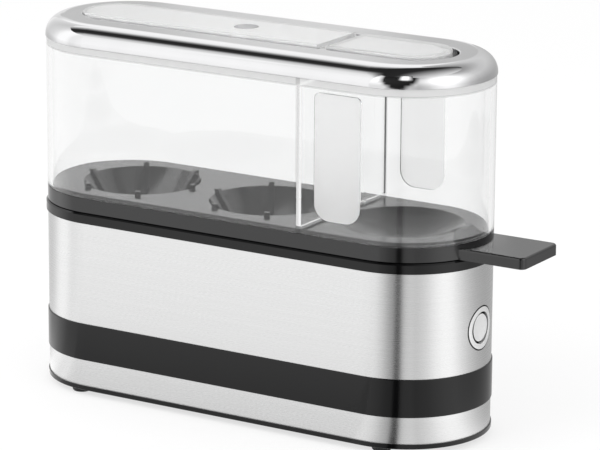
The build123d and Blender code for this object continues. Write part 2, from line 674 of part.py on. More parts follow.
# Cord gland through the rear of the band
with BuildPart() as cord_gland:
    cylinder_y(GLAND_FLANGE_RADIUS, BAND_FACE, BAND_FACE + GLAND_FLANGE, GLAND_X, GLAND_Z)
    cylinder_y(GLAND_RADIUS, HOUSING_INNER - GLAND_TAIL, BAND_FACE, GLAND_X, GLAND_Z)
    cylinder_y(
        GLAND_BORE,
        HOUSING_INNER - GLAND_TAIL,
        BAND_FACE + GLAND_FLANGE,
        GLAND_X,
        GLAND_Z,
        mode=Mode.SUBTRACT,
    )
cord_gland.part.label = "cord_gland"
export_step(cord_gland.part, "parts/cord_gland.step")

# Gland nut inside the housing
with BuildPart() as gland_nut:
    with BuildSketch(Plane.XZ.offset(-HOUSING_INNER)):
        with Locations((GLAND_X, GLAND_Z)):
            RegularPolygon(NUT_RADIUS, NUT_SIDES)
            Circle(GLAND_RADIUS + NUT_FIT, mode=Mode.SUBTRACT)
    extrude(amount=NUT_THICKNESS)
gland_nut.part.label = "gland_nut"
export_step(gland_nut.part, "parts/gland_nut.step")

# Live wire from the terminal block to the board
with BuildPart() as live_wire:
    cylinder_x(WIRE_RADIUS, BLOCK_FACE, CONNECTOR_FACE, LIVE_Y, WIRE_Z)
live_wire.part.label = "live_wire"
export_step(live_wire.part, "parts/live_wire.step")

# Neutral wire from the terminal block to the heater's rear pin
with BuildPart() as neutral_wire:
    wire_tube(
        [
            (BLOCK_FACE, HEATER_Y, WIRE_Z),
            (HEATER_NEAR_X, HEATER_Y, WIRE_Z),
            (HEATER_NEAR_X, HEATER_Y, PIN_END_Z),
        ],
        WIRE_BEND,
    )
neutral_wire.part.label = "neutral_wire"
export_step(neutral_wire.part, "parts/neutral_wire.step")

# Heater wire from the board to the heater's front pin
with BuildPart() as heater_wire:
    wire_tube(
        [
            (CONNECTOR_FACE, -HEATER_Y, WIRE_Z),
            (HEATER_NEAR_X, -HEATER_Y, WIRE_Z),
            (HEATER_NEAR_X, -HEATER_Y, PIN_END_Z),
        ],
        WIRE_BEND,
    )
heater_wire.part.label = "heater_wire"
export_step(heater_wire.part, "parts/heater_wire.step")

# Button ring: the bezel, curved like the steel around it, and the barrel that guides the button
BARREL_BORE = CAP_RADIUS + CAP_CLEARANCE
with BuildPart() as button_ring:
    cylinder_x(RING_RADIUS, SPOT_X, RING_FACE, 0, BUTTON_Z)
    slot_block(END_SPACING, BODY_RADIUS + RING_PROUD, UPPER_Z, COLLAR_Z, mode=Mode.INTERSECT)
    fillet(button_ring.faces().sort_by(Axis.X)[-1].edges(), RING_EDGE)
    cylinder_x(BARREL_RADIUS, BARREL_END, SPOT_X, 0, BUTTON_Z)
    cylinder_x(BARREL_BORE, BARREL_END, RING_FACE, 0, BUTTON_Z, mode=Mode.SUBTRACT)
button_ring.part.label = "button_ring"
export_step(button_ring.part, "parts/button_ring.step")

# Button cap: the face that the finger presses
with BuildPart() as button_cap:
    cylinder_x(CAP_RADIUS, CAP_BACK, CAP_FACE, 0, BUTTON_Z)
    fillet(button_cap.edges().group_by(Axis.X)[-1], CAP_EDGE)
button_cap.part.label = "button_cap"
export_step(button_cap.part, "parts/button_cap.step")

# Button plunger: the stem, the stop behind the barrel and the pin that meets the switch
with BuildPart() as button_plunger:
    cylinder_x(STEM_RADIUS, COLLET_FRONT, CAP_BACK, 0, BUTTON_Z)
    cylinder_x(COLLET_RADIUS, COLLET_BACK, COLLET_FRONT, 0, BUTTON_Z)
    cylinder_x(PUSH_PIN_RADIUS, PUSH_END, COLLET_BACK, 0, BUTTON_Z)
button_plunger.part.label = "button_plunger"
export_step(button_plunger.part, "parts/button_plunger.step")

# Flat handle of the egg tray, from the rim outwards
HANDLE_TOP = LID_Z - HANDLE_DROP
HANDLE_TIP = BODY_END + HANDLE_LENGTH
SEAT_SLOPE = (SEAT_RADIUS - SEAT_HOLE_RADIUS) / SEAT_DEPTH
BOWL_FLOOR = DECK_TOP - BOWL_DEPTH
SKIRT_RADIUS = COLLAR_OPENING - SKIRT_FIT
RIM_INNER = BODY_RADIUS - RIM_WALL
with BuildPart() as tray_handle:
    block(
        (END_X, HANDLE_TIP),
        (-HANDLE_WIDTH / 2, HANDLE_WIDTH / 2),
        (HANDLE_TOP - HANDLE_THICKNESS, HANDLE_TOP),
    )
    fillet(tray_handle.edges().filter_by(Axis.Z).group_by(Axis.X)[-1], HANDLE_CORNER)
    fillet(tray_handle.faces().sort_by(Axis.Z)[-1].edges().sort_by(Axis.X)[1:], HANDLE_EDGE)
    slot_block(END_SPACING, RIM_INNER, TRAY_Z, LID_Z, mode=Mode.SUBTRACT)

# Egg tray: rim, raised deck, two finned egg seats, a closed bowl and the handle, in one moulding
with BuildPart() as egg_tray:
    slot_block(END_SPACING, BODY_RADIUS, TRAY_Z, LID_Z)
    chamfer(egg_tray.edges().group_by(Axis.Z)[0], RIM_EDGE)
    slot_block(END_SPACING, RIM_INNER, TRAY_Z, LID_Z, mode=Mode.SUBTRACT)
    add(tray_handle.part)
    slot_block(END_SPACING, DECK_RADIUS, DECK_TOP - DECK_THICKNESS, DECK_TOP)
    slot_ring(SKIRT_RADIUS, SKIRT_RADIUS - SKIRT_WALL, TRAY_Z - SKIRT_DEPTH, DECK_TOP - DECK_THICKNESS)
    with Locations(*[(seat_x, 0, SEAT_FLOOR) for seat_x in EGG_SEATS]):
        Cone(
            SEAT_HOLE_RADIUS + SEAT_WALL,
            SEAT_RADIUS + SEAT_WALL,
            SEAT_DEPTH,
            align=(Align.CENTER, Align.CENTER, Align.MIN),
        )
    with BuildSketch(radial_plane(BOWL_X, 0)):
        with BuildLine():
            TangentArc(
                (0, BOWL_FLOOR - SEAT_WALL), (SEAT_RADIUS + SEAT_WALL, DECK_TOP), tangent=(1, 0)
            )
            Line((SEAT_RADIUS + SEAT_WALL, DECK_TOP), (0, DECK_TOP))
            Line((0, DECK_TOP), (0, BOWL_FLOOR - SEAT_WALL))
        make_face()
    revolve(axis=Axis((BOWL_X, 0, 0), (0, 0, 1)))
    with Locations(*[(seat_x, 0, SEAT_FLOOR) for seat_x in EGG_SEATS]):
        Cone(
            SEAT_HOLE_RADIUS,
            SEAT_RADIUS,
            SEAT_DEPTH,
            align=(Align.CENTER, Align.CENTER, Align.MIN),
            mode=Mode.SUBTRACT,
        )
    with BuildSketch(radial_plane(BOWL_X, 0)):
        with BuildLine():
            TangentArc((0, BOWL_FLOOR), (SEAT_RADIUS, DECK_TOP), tangent=(1, 0))
            Line((SEAT_RADIUS, DECK_TOP), (0, DECK_TOP))
            Line((0, DECK_TOP), (0, BOWL_FLOOR))
        make_face()
    revolve(axis=Axis((BOWL_X, 0, 0), (0, 0, 1)), mode=Mode.SUBTRACT)
    bowl_rim = egg_tray.edges().filter_by_position(Axis.Z, DECK_TOP, DECK_TOP).filter_by(
        lambda edge: abs(edge.center(CenterOf.BOUNDING_BOX).X - BOWL_X) < SEAT_WALL
    )
    fillet(bowl_rim, BOWL_EDGE)
    for seat_x in EGG_SEATS:
        for fin in range(FIN_COUNT):
            with BuildSketch(radial_plane(seat_x, fin * 360 / FIN_COUNT)):
                with BuildLine():
                    Polyline(
                        (SEAT_HOLE_RADIUS - FIN_STAND, SEAT_FLOOR),
                        (SEAT_RADIUS - FIN_STAND + SEAT_SLOPE * FIN_RISE, DECK_TOP + FIN_RISE),
                        (SEAT_RADIUS + FIN_TIP, DECK_TOP + FIN_RISE),
                        (SEAT_RADIUS + SEAT_WALL / 2, DECK_TOP),
                        (SEAT_HOLE_RADIUS + SEAT_WALL / 2, SEAT_FLOOR),
                        close=True,
                    )
                make_face()
            extrude(amount=FIN_THICKNESS / 2, both=True)
egg_tray.part.label = "egg_tray"
export_step(egg_tray.part, "parts/egg_tray.step")

# Lid shell: clear wall and roof with a cross wall, grip pockets and the window's opening
with BuildPart() as lid_shell:
    slot_block(END_SPACING, BODY_RADIUS, LID_Z, TRIM_Z)
    slot_block(END_SPACING, LID_INNER, LID_Z, ROOF_Z, mode=Mode.SUBTRACT)
    fillet(lid_shell.edges().group_by(Axis.Z)[0], LID_EDGE)
    slot_block(WINDOW_SPACING, WINDOW_RADIUS - WINDOW_SEAT, ROOF_Z, TRIM_Z, mode=Mode.SUBTRACT)
    block(
        (PARTITION_X - PARTITION_WALL / 2, PARTITION_X + PARTITION_WALL / 2),
        (-LID_INNER - LID_WALL / 2, LID_INNER + LID_WALL / 2),
        (DECK_TOP + PARTITION_GAP, TRIM_Z),
    )
    extrude(grip_sketch(-BODY_RADIUS, 0), amount=-GRIP_DEPTH, mode=Mode.SUBTRACT)
    extrude(grip_sketch(BODY_RADIUS, 0), amount=GRIP_DEPTH, mode=Mode.SUBTRACT)
lid_shell.part.label = "lid_shell"
export_step(lid_shell.part, "parts/lid_shell.step")

# Lid grips: satin panels let into the front and rear walls
with BuildPart() as lid_grips:
    extrude(grip_sketch(-BODY_RADIUS, GRIP_FIT), amount=-GRIP_DEPTH)
    extrude(grip_sketch(BODY_RADIUS, GRIP_FIT), amount=GRIP_DEPTH)
lid_grips.part.label = "lid_grips"
export_step(lid_grips.part, "parts/lid_grips.step")

# Hollow under the trim ring, between its outer skin and the window's opening
with BuildPart() as trim_hollow:
    slot_block(END_SPACING, BODY_RADIUS + TRIM_PROUD - TRIM_WALL, TRIM_Z, TOP_Z - TRIM_WALL)
    fillet(trim_hollow.edges().group_by(Axis.Z)[-1], TRIM_ROUND - TRIM_WALL)
    slot_block(WINDOW_SPACING, WINDOW_RADIUS + TRIM_WALL, TRIM_Z, TOP_Z, mode=Mode.SUBTRACT)

# Lid trim ring: thin rounded frame around the window
with BuildPart() as lid_trim_ring:
    slot_block(END_SPACING, BODY_RADIUS + TRIM_PROUD, TRIM_Z, TOP_Z)
    fillet(lid_trim_ring.edges().group_by(Axis.Z)[-1], TRIM_ROUND)
    slot_block(WINDOW_SPACING, WINDOW_RADIUS, TRIM_Z, TOP_Z, mode=Mode.SUBTRACT)
    window_edges = lid_trim_ring.edges().filter_by_position(Axis.Z, TOP_Z, TOP_Z).filter_by(
        lambda edge: abs(edge.center().Y) < WINDOW_RADIUS + TRIM_WALL
    )
    fillet(window_edges, TRIM_INNER_EDGE)
    add(trim_hollow.part, mode=Mode.SUBTRACT)
lid_trim_ring.part.label = "lid_trim_ring"
export_step(lid_trim_ring.part, "parts/lid_trim_ring.step")

# Lid window: the fixed clear cover over the egg chamber, with the steam hole
with BuildPart() as lid_window:
    extrude(window_sketch(0, TRIM_Z), amount=WINDOW_TOP - TRIM_Z)
    fillet(lid_window.edges().group_by(Axis.Z)[-1], WINDOW_EDGE)
    parting_groove()
    extrude(
        window_sketch(WINDOW_WALL, TRIM_Z),
        amount=WINDOW_TOP - WINDOW_THICKNESS - TRIM_Z,
        mode=Mode.SUBTRACT,
    )
    cylinders_z(VENT_RADIUS, TRIM_Z, WINDOW_TOP, [(VENT_X, VENT_Y)], mode=Mode.SUBTRACT)
lid_window.part.label = "lid_window"
export_step(lid_window.part, "parts/lid_window.step")

# Measuring cup: its closed end fills the window's outline, its wall hangs into the lid
with BuildPart() as measuring_cup:
    extrude(cup_sketch(0, TRIM_Z), amount=WINDOW_TOP - TRIM_Z)
    parting_groove()
    fillet(measuring_cup.edges().group_by(Axis.Z)[-1], WINDOW_EDGE)
    extrude(cup_sketch(CUP_SHOULDER, CUP_MOUTH_Z), amount=TRIM_Z - CUP_MOUTH_Z)
    extrude(
        cup_sketch(CUP_SHOULDER + CUP_WALL, CUP_MOUTH_Z),
        amount=WINDOW_TOP - WINDOW_THICKNESS - CUP_MOUTH_Z,
        mode=Mode.SUBTRACT,
    )
    fillet(measuring_cup.edges().group_by(Axis.Z)[0], CUP_MOUTH_EDGE)
measuring_cup.part.label = "measuring_cup"
export_step(measuring_cup.part, "parts/measuring_cup.step")
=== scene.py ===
"""Electric egg cooker: finishes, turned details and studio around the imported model."""
from math import cos, pi, radians, sin

import bmesh
import bpy
import numpy as np
from bpy.props import FloatProperty, FloatVectorProperty, IntProperty, PointerProperty
from bpy.types import NodeSocket, Operator, Panel, PropertyGroup
from mathutils import Matrix, Vector


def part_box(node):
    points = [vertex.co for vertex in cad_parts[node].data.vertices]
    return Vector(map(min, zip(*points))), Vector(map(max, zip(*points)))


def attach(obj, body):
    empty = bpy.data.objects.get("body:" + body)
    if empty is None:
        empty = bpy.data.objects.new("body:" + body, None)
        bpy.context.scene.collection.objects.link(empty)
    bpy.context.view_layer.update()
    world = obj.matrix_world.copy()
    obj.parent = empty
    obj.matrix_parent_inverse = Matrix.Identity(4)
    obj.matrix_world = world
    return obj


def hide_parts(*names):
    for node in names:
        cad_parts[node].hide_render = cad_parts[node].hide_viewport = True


bl_info = {
    "name": "Egg cooker dressing",
    "version": (1, 0, 0),
    "blender": (4, 5, 0),
    "location": "3D View > Sidebar > Egg cooker",
    "description": "Finishes, turned details and studio for an electric egg cooker",
    "category": "Object",
}

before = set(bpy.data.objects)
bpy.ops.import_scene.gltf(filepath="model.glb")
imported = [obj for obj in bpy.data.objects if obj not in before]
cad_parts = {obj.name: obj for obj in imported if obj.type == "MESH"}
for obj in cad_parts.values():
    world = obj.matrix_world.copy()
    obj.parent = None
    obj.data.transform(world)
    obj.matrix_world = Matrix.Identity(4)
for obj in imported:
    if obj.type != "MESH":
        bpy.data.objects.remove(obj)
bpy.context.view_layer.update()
MM = 0.001

# Camera fitted to the photograph, in metres and in pixels of a 600 by 450 image
EYE = Vector((0.63402, -1.00724, 0.37967))
TARGET = Vector((0.014405, 0.0, 0.06776))
ROLL = radians(0.368)
FOCAL_PIXELS = 3452.9
IMAGE_WIDTH = 600
SENSOR_MM = 36.0
FAR_CLIP = 100

# Light runs many times to and fro inside the lid's clear cross wall
LIGHT_BOUNCES = 32
WHITE = (1, 1, 1, 1)

# Graded cards that the metal and the gloss mirror, in metres, degrees and shares of white. A GLOW list holds
# (azimuth, glow) and its PROFILE (distance, height, gain, flag); an X list holds (x, share, glow, shift) and
# its PROFILE (y, z, glow)
BUTTON_END = (0.0583, 0.0, 0.0)
FAR_END = (-0.0583, 0.0, 0.0)
TENT_STEPS = 240
SHEET_STEPS = 120
FLAG_AZIMUTH = 14.0
FLAG_SOFTNESS = 8.0
FLAG_DEPTH = 0.98
NO_FLAG = -FLAG_SOFTNESS
GROUND_GLOW = [
    (-12, 1.25), (0, 1.0), (7, 0.74), (14.5, 0.58), (17, 0.06), (22, 0.04), (24.5, 0.75), (28, 1.0),
    (36, 1.05), (41, 0.9), (54, 1.05), (65, 1.33), (76, 1.52), (88, 1.54), (101, 1.22), (114, 0.92),
    (129, 0.7), (147, 0.58), (172, 0.56), (205, 0.56),
]
GROUND_PROFILE = [(0.031, 0.0002, 1.0, NO_FLAG), (0.1, 0.0002, 1.0, NO_FLAG), (0.65, 0.0002, 1.0, NO_FLAG)]
WALL_GLOW = [
    (-22, 1.25), (0, 1.2), (36, 0.8), (41, 0.72), (54, 1.0), (65, 1.4), (76, 1.6), (88, 1.55), (101, 1.15),
    (114, 0.8), (129, 0.62), (147, 0.56), (172, 0.56), (205, 0.56),
]
WALL_PROFILE = [
    (0.65, 0.0002, 1.0, 2), (0.65, 0.12, 1.1, 8), (0.65, 0.25, 1.4, 15), (0.65, 0.4, 1.75, 20),
    (0.65, 0.55, 1.7, 22), (0.65, 0.7, 1.35, 23), (0.65, 0.82, 1.1, 24), (0.65, 0.93, 0.9, 24),
]
FAR_GLOW = [
    (-132, 0.95), (-120, 0.82), (-112, 0.8), (-104, 0.86), (-96, 0.94), (-90, 1.04), (-84, 1.2),
    (-79, 1.36), (-73, 1.43), (-63, 1.43), (-58, 1.36), (-53, 1.21), (-46, 1.21), (-40, 1.28), (-35, 1.31),
]
FAR_PROFILE = [
    (0.031, 0.0004, 1.0, NO_FLAG), (0.1, 0.0004, 1.0, NO_FLAG), (0.9, 0.0004, 1.0, NO_FLAG),
    (0.9, 0.15, 1.25, NO_FLAG), (0.9, 0.92, 1.25, NO_FLAG),
]
FRONT_CEILING_X = [
    (-3.0, 0.6, 0.35, 0.0), (-1.9, 0.65, 0.3, 0.0), (-1.25, 1.0, 0.0, 0.0), (-0.45, 1.0, 0.0, 0.0),
    (-0.15, 0.0, 0.03, 0.0), (0.1, 0.0, 0.04, 0.0), (0.2, 0.0, 0.22, 0.0), (0.35, 0.0, 0.58, 0.0),
    (0.5, 0.0, 0.95, 0.0), (0.7, 0.0, 1.35, 0.0), (1.4, 0.0, 1.35, 0.0),
]
FRONT_CEILING_PROFILE = [
    (-1.1, 0.935, 1.58), (-0.68, 0.935, 1.42), (-0.55, 0.935, 1.15), (-0.43, 0.935, 0.95),
    (-0.34, 0.935, 0.4), (-0.25, 0.935, 0.05), (0.0, 0.935, 0.03), (1.0, 0.935, 0.03),
]
REAR_CEILING_X = [
    (-3.0, 0.6, 0.35, 0.0), (-1.9, 0.65, 0.3, 0.0), (-1.25, 1.0, 0.0, 0.0), (-0.4, 1.0, 0.0, 0.0),
    (-0.2, 1.0, 0.0, 0.1), (-0.1, 1.0, 0.0, 0.42), (0.05, 1.0, 0.0, 0.5), (0.35, 0.8, 0.0, 0.6),
    (1.4, 0.6, 0.0, 0.9),
]
REAR_CEILING_PROFILE = [
    (0.0, 0.93, 0.03), (0.11, 0.93, 0.25), (0.24, 0.93, 0.85), (0.38, 0.93, 1.5), (0.64, 0.93, 1.56),
    (0.97, 0.93, 1.58), (1.66, 0.93, 1.33), (2.2, 0.93, 1.05),
]
FRONT_X = [(-3.0, 1.0, 0.0, 0.0), (0.03, 1.0, 0.0, 0.0)]
FRONT_PROFILE = [
    (-0.06, 0.0003, 1.0), (-0.1, 0.0003, 1.28), (-0.3, 0.0003, 1.34), (-0.6, 0.0003, 1.5),
    (-1.1, 0.0003, 1.58), (-1.1, 0.3, 1.66), (-1.1, 0.7, 1.64), (-1.1, 0.93, 1.58),
]
RIM_X = [
    (-0.6, 0.8, 0.0, 0.0), (-0.46, 0.8, 0.0, 0.0), (-0.41, 0.96, 0.0, 0.0), (-0.33, 1.0, 0.0, 0.0),
    (-0.305, 0.92, 0.0, 0.0), (-0.275, 0.78, 0.0, 0.0), (-0.2, 0.72, 0.0, 0.0),
]
RIM_PROFILE = [(0.6, 0.27, 0.92), (0.6, 0.32, 0.98), (0.6, 0.345, 1.2), (0.6, 0.36, 1.4)]
SPARK_GLOW = [(12, 0.03), (17, 1.2), (20, 2.3), (27, 2.3), (30, 1.2), (35, 0.03)]
SPARK_PROFILE = [
    (0.4, 0.36, 0.02, NO_FLAG), (0.4, 0.46, 1.0, NO_FLAG), (0.4, 0.72, 1.0, NO_FLAG),
    (0.4, 0.82, 0.02, NO_FLAG),
]

# Floor and lamps: azimuth in degrees, distance, height and size in metres
FLOOR_GREY = (0.28, 0.28, 0.28, 1)
FLOOR_DROP = 0.1 * MM
LAMP_AIM = (0, 0, 0.07)
KEY_AZIMUTH, KEY_DISTANCE, KEY_HEIGHT, KEY_SIZE = -35, 0.95, 0.85, (1.2, 1.0)
SIDE_AZIMUTH, SIDE_DISTANCE, SIDE_HEIGHT, SIDE_SIZE = 67, 0.85, 0.42, (1.15, 0.8)

# Grain of the finishes: the range in the middle of a noise, and what the kinds of finish make of it
NOISE_LOW = 0.3
NOISE_HIGH = 0.7
PATCH_CELLS = 40
PIT_STRENGTH = 0.5
BRUSH_CELLS = 9
BRUSH_CHANGE = 0.012
BRUSH_STRENGTH = 0.03
BRUSH_DEPTH = 0.01 * MM
PLASTIC_IOR = 1.49
CLOUD_PITCH = 12 * MM
FLOW_CELLS = (25 * MM, 25 * MM, 40 * MM)
FLOW_STRENGTH = 0.25
FLOW_DEPTH = 0.02 * MM

# Turned pieces, with shares of a radius
TURN_STEPS = 96
CORNER_STEPS = 12
DISH_STEPS = 14
SOLE_STEPS = 60
HEAD_STEPS = 40
THREAD_STEPS = 90
MERGE_DISTANCE = 1e-7
LEAST_LENGTH = 1e-9
SHARP_ANGLE = radians(40)
DISH_SHARE = 0.86
SOLE_SHARE = 0.84
SOLE_EDGE_SHARE = 0.89
HEAD_FLAT_SHARE = 0.86
CROSS_SHARE = 0.62
RIDGE_SHARE = 0.14
TIP_SHARE = 0.5

# Soft edge of a painted band, and the painted shade in the gaps round the start button
SOFT_EDGE = 0.1 * MM
PAINTED_GAP_SHADE = 0.02

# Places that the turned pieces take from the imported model
FEET_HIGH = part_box("rubber_feet")[1]
SCREWS_LOW, SCREWS_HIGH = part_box("base_screws")
CAP_LOW, CAP_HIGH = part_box("button_cap")
RING_LOW, RING_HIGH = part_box("button_ring")
PLATE_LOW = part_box("base_plate")[0]
GRIPS_LOW, GRIPS_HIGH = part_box("lid_grips")
SHELL_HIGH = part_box("lid_shell")[1]


class CookerFinish(PropertyGroup):
    """Colours and surface grain."""

    steel: FloatVectorProperty(
        name="Steel", description="Colour of the brushed sleeves", subtype="COLOR", size=4, min=0, max=1,
        default=(0.585, 0.585, 0.585, 1.0),
    )
    chrome: FloatVectorProperty(
        name="Chrome", description="Colour of the lid's frame", subtype="COLOR", size=4, min=0, max=1,
        default=(0.55, 0.55, 0.555, 1.0),
    )
    black: FloatVectorProperty(
        name="Black", description="Colour of the black mouldings", subtype="COLOR", size=4, min=0, max=1,
        default=(0.0024, 0.0024, 0.0026, 1.0),
    )
    clear: FloatVectorProperty(
        name="Clear", description="Tint of the clear plastic", subtype="COLOR", size=4, min=0, max=1,
        default=(0.955, 0.957, 0.957, 1.0),
    )
    satin: FloatVectorProperty(
        name="Satin", description="Tint of the frosted grip panels", subtype="COLOR", size=4, min=0, max=1,
        default=(0.97, 0.97, 0.97, 1.0),
    )
    silver: FloatVectorProperty(
        name="Silver", description="Colour of the start button", subtype="COLOR", size=4, min=0, max=1,
        default=(0.86, 0.86, 0.86, 1.0),
    )
    rubber: FloatVectorProperty(
        name="Rubber", description="Colour of the feet", subtype="COLOR", size=4, min=0, max=1,
        default=(0.016, 0.016, 0.016, 1.0),
    )
    brush_pitch: FloatProperty(
        name="Brush pitch", description="Distance between brushing lines on the sleeves", unit="LENGTH",
        default=0.16 * MM, min=0.02 * MM,
    )
    brush_length: FloatProperty(
        name="Brush length", description="Length of one brushing line", unit="LENGTH",
        default=45 * MM, min=1 * MM,
    )
    grain_pitch: FloatProperty(
        name="Grain pitch", description="Distance between pits in the moulded black plastic", unit="LENGTH",
        default=0.35 * MM, min=0.05 * MM,
    )


class CookerDetail(PropertyGroup):
    """Sizes of the turned details."""

    cap_dish: FloatProperty(
        name="Cap dish", description="Depth of the hollow in the start button's face", unit="LENGTH",
        default=0.25 * MM, min=0,
    )
    foot_groove: FloatProperty(
        name="Foot groove", description="Depth of the grooves under a foot", unit="LENGTH",
        default=0.3 * MM, min=0,
    )
    drive_depth: FloatProperty(
        name="Drive depth", description="Depth of the cross in a screw head", unit="LENGTH",
        default=1.0 * MM, min=0,
    )
    drive_width: FloatProperty(
        name="Drive width", description="Width of one arm of the cross", unit="LENGTH",
        default=0.8 * MM, min=0.1 * MM,
    )


class CookerStudio(PropertyGroup):
    """Light and floor."""

    room_light: FloatProperty(
        name="Room light", description="Strength of the even light from all round", default=0.95, min=0,
    )
    key_power: FloatProperty(
        name="Key power", description="Power of the large soft lamp at the front left", unit="POWER",
        default=6.5, min=0,
    )
    side_power: FloatProperty(
        name="Side power", description="Power of the soft lamp at the button end", unit="POWER",
        default=3.5, min=0,
    )
    floor_glow: FloatProperty(
        name="Floor glow", description="White that the floor adds where it is seen", default=0.69, min=0,
    )


class CookerSettings(PropertyGroup):
    """All the values that a user would change."""

    finish: PointerProperty(type=CookerFinish)
    detail: PointerProperty(type=CookerDetail)
    studio: PointerProperty(type=CookerStudio)


def add_node(mat, kind, inputs=None, **attributes):
    """New node with its own attributes: each input is linked from a socket or set to a value."""
    node = mat.node_tree.nodes.new(kind)
    for name, value in attributes.items():
        setattr(node, name, value)
    for name, value in (inputs or {}).items():
        if isinstance(value, NodeSocket):
            mat.node_tree.links.new(value, node.inputs[name])
        else:
            node.inputs[name].default_value = value
    return node


def new_material(name, colour, **sockets):
    """New material with a principled shader: words in a socket's name are joined by underscores."""
    mat = bpy.data.materials.new(name)
    mat.use_nodes = True
    shader = mat.node_tree.nodes["Principled BSDF"]
    shader.inputs["Base Color"].default_value = colour
    for words, value in sockets.items():
        shader.inputs[words.replace("_", " ").title().replace("Ior", "IOR")].default_value = value
    return mat


def to_shader(mat, socket, value):
    """Link a value to a socket of the material's principled shader."""
    mat.node_tree.links.new(value, mat.node_tree.nodes["Principled BSDF"].inputs[socket])


def grain(mat, pitch, detail=2.0):
    """Noise over Object coordinates whose cells measure pitch, one length or one for each axis."""
    lengths = pitch if isinstance(pitch, tuple) else (pitch, pitch, pitch)
    place = add_node(mat, "ShaderNodeTexCoord").outputs["Object"]
    scaled = add_node(
        mat, "ShaderNodeMapping", {"Vector": place, "Scale": [1 / length for length in lengths]}
    )
    noise = add_node(
        mat, "ShaderNodeTexNoise", {"Vector": scaled.outputs["Vector"], "Scale": 1.0, "Detail": detail}
    )
    return noise.outputs["Fac"]


def spread(mat, value, low, high):
    """The noise's middle range stretched from low to high."""
    node = add_node(
        mat,
        "ShaderNodeMapRange",
        {"Value": value, "From Min": NOISE_LOW, "From Max": NOISE_HIGH, "To Min": low, "To Max": high},
    )
    return node.outputs["Result"]


def ranged(mat, value, low, high):
    """A share from 0 to 1, carried over to the range from low to high."""
    node = add_node(mat, "ShaderNodeMapRange", {"Value": value, "To Min": low, "To Max": high})
    return node.outputs["Result"]


def combine(mat, operation, *values):
    """Result of one math operation on sockets and numbers."""
    return add_node(mat, "ShaderNodeMath", dict(enumerate(values)), operation=operation).outputs[0]


def within(mat, value, limit):
    """1 where a length is below the limit, falling to 0 over a soft edge past it."""
    node = add_node(
        mat,
        "ShaderNodeMapRange",
        {"Value": value, "From Min": limit, "From Max": limit + SOFT_EDGE, "To Min": 1.0, "To Max": 0.0},
    )
    return node.outputs["Result"]


def stripe(mat, value, middle, half):
    """1 where a length lies within half of the middle, falling to 0 over a soft edge."""
    return within(mat, combine(mat, "ABSOLUTE", combine(mat, "SUBTRACT", value, middle)), half)


def object_place(mat):
    """The point on the piece itself, as one vector and as its X, Y and Z."""
    place = add_node(mat, "ShaderNodeTexCoord").outputs["Object"]
    return place, add_node(mat, "ShaderNodeSeparateXYZ", {"Vector": place}).outputs


def shade(mat, value, colour, change):
    """Colour that a noise makes darker and lighter by a share."""
    ramp = add_node(mat, "ShaderNodeValToRGB", {"Fac": value})
    stops = ((NOISE_LOW, 1 - change), (NOISE_HIGH, 1 + change))
    for element, (place, factor) in zip(ramp.color_ramp.elements, stops):
        element.position = place
        element.color = [min(1.0, part * factor) for part in colour[:3]] + [1.0]
    return ramp.outputs["Color"]


def bump(mat, height, strength, depth):
    """Let a height pattern of this depth in metres tilt the shader's normal."""
    tilt = add_node(mat, "ShaderNodeBump", {"Height": height, "Strength": strength, "Distance": depth})
    to_shader(mat, "Normal", tilt.outputs["Normal"])


def grained(name, colour, pitch, roughness, change=0.12, depth=0.02 * MM, **sockets):
    """Solid finish with a fine grain: colour and roughness vary over patches, and pits tilt the surface."""
    mat = new_material(name, colour, **sockets)
    fine = grain(mat, pitch)
    patches = grain(mat, pitch * PATCH_CELLS)
    to_shader(mat, "Base Color", shade(mat, patches, colour, change))
    to_shader(mat, "Roughness", spread(mat, patches, *roughness))
    bump(mat, fine, PIT_STRENGTH, depth)
    return mat


def brushed(name, colour, pitch, length, roughness, lengthwise=False):
    """Brushed metal: streaks of one length and pitch, level round the body or, when lengthwise, along X."""
    mat = new_material(name, colour, metallic=1.0)
    cells = (length, pitch, pitch) if lengthwise else (length, length, pitch)
    fine = grain(mat, cells)
    wide = grain(mat, tuple(cell * BRUSH_CELLS for cell in cells))
    to_shader(mat, "Base Color", shade(mat, wide, colour, BRUSH_CHANGE))
    to_shader(mat, "Roughness", spread(mat, fine, *roughness))
    bump(mat, fine, BRUSH_STRENGTH, BRUSH_DEPTH)
    return mat


def clear(name, tint, roughness):
    """Clear moulded plastic with faint flow lines and a roughness that varies over patches."""
    mat = new_material(name, tint, transmission_weight=1.0, ior=PLASTIC_IOR)
    to_shader(mat, "Roughness", spread(mat, grain(mat, CLOUD_PITCH), *roughness))
    bump(mat, grain(mat, FLOW_CELLS, 1.0), FLOW_STRENGTH, FLOW_DEPTH)
    return mat


def dress(mat, *nodes):
    """Give CAD nodes a finish, in every material slot that they have."""
    for name in nodes:
        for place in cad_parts[name].material_slots:
            place.material = mat


def turned(profile, places, axis):
    """Closed turned pieces: profile points (radius, height) are carried round an axis through each place.

    The point at angle a is place + radius * (cos a * across + sin a * aside) + height * axis.
    """
    axis = np.array(axis, float)
    across = np.roll(axis, 1)
    aside = np.cross(axis, across)
    angle = np.linspace(0, 2 * pi, TURN_STEPS, endpoint=False)[:, None, None]
    spoke = np.cos(angle) * across + np.sin(angle) * aside
    shape = profile[None, :, :1] * spoke + profile[None, :, 1:] * axis
    return [shape + np.array(place) for place in places]


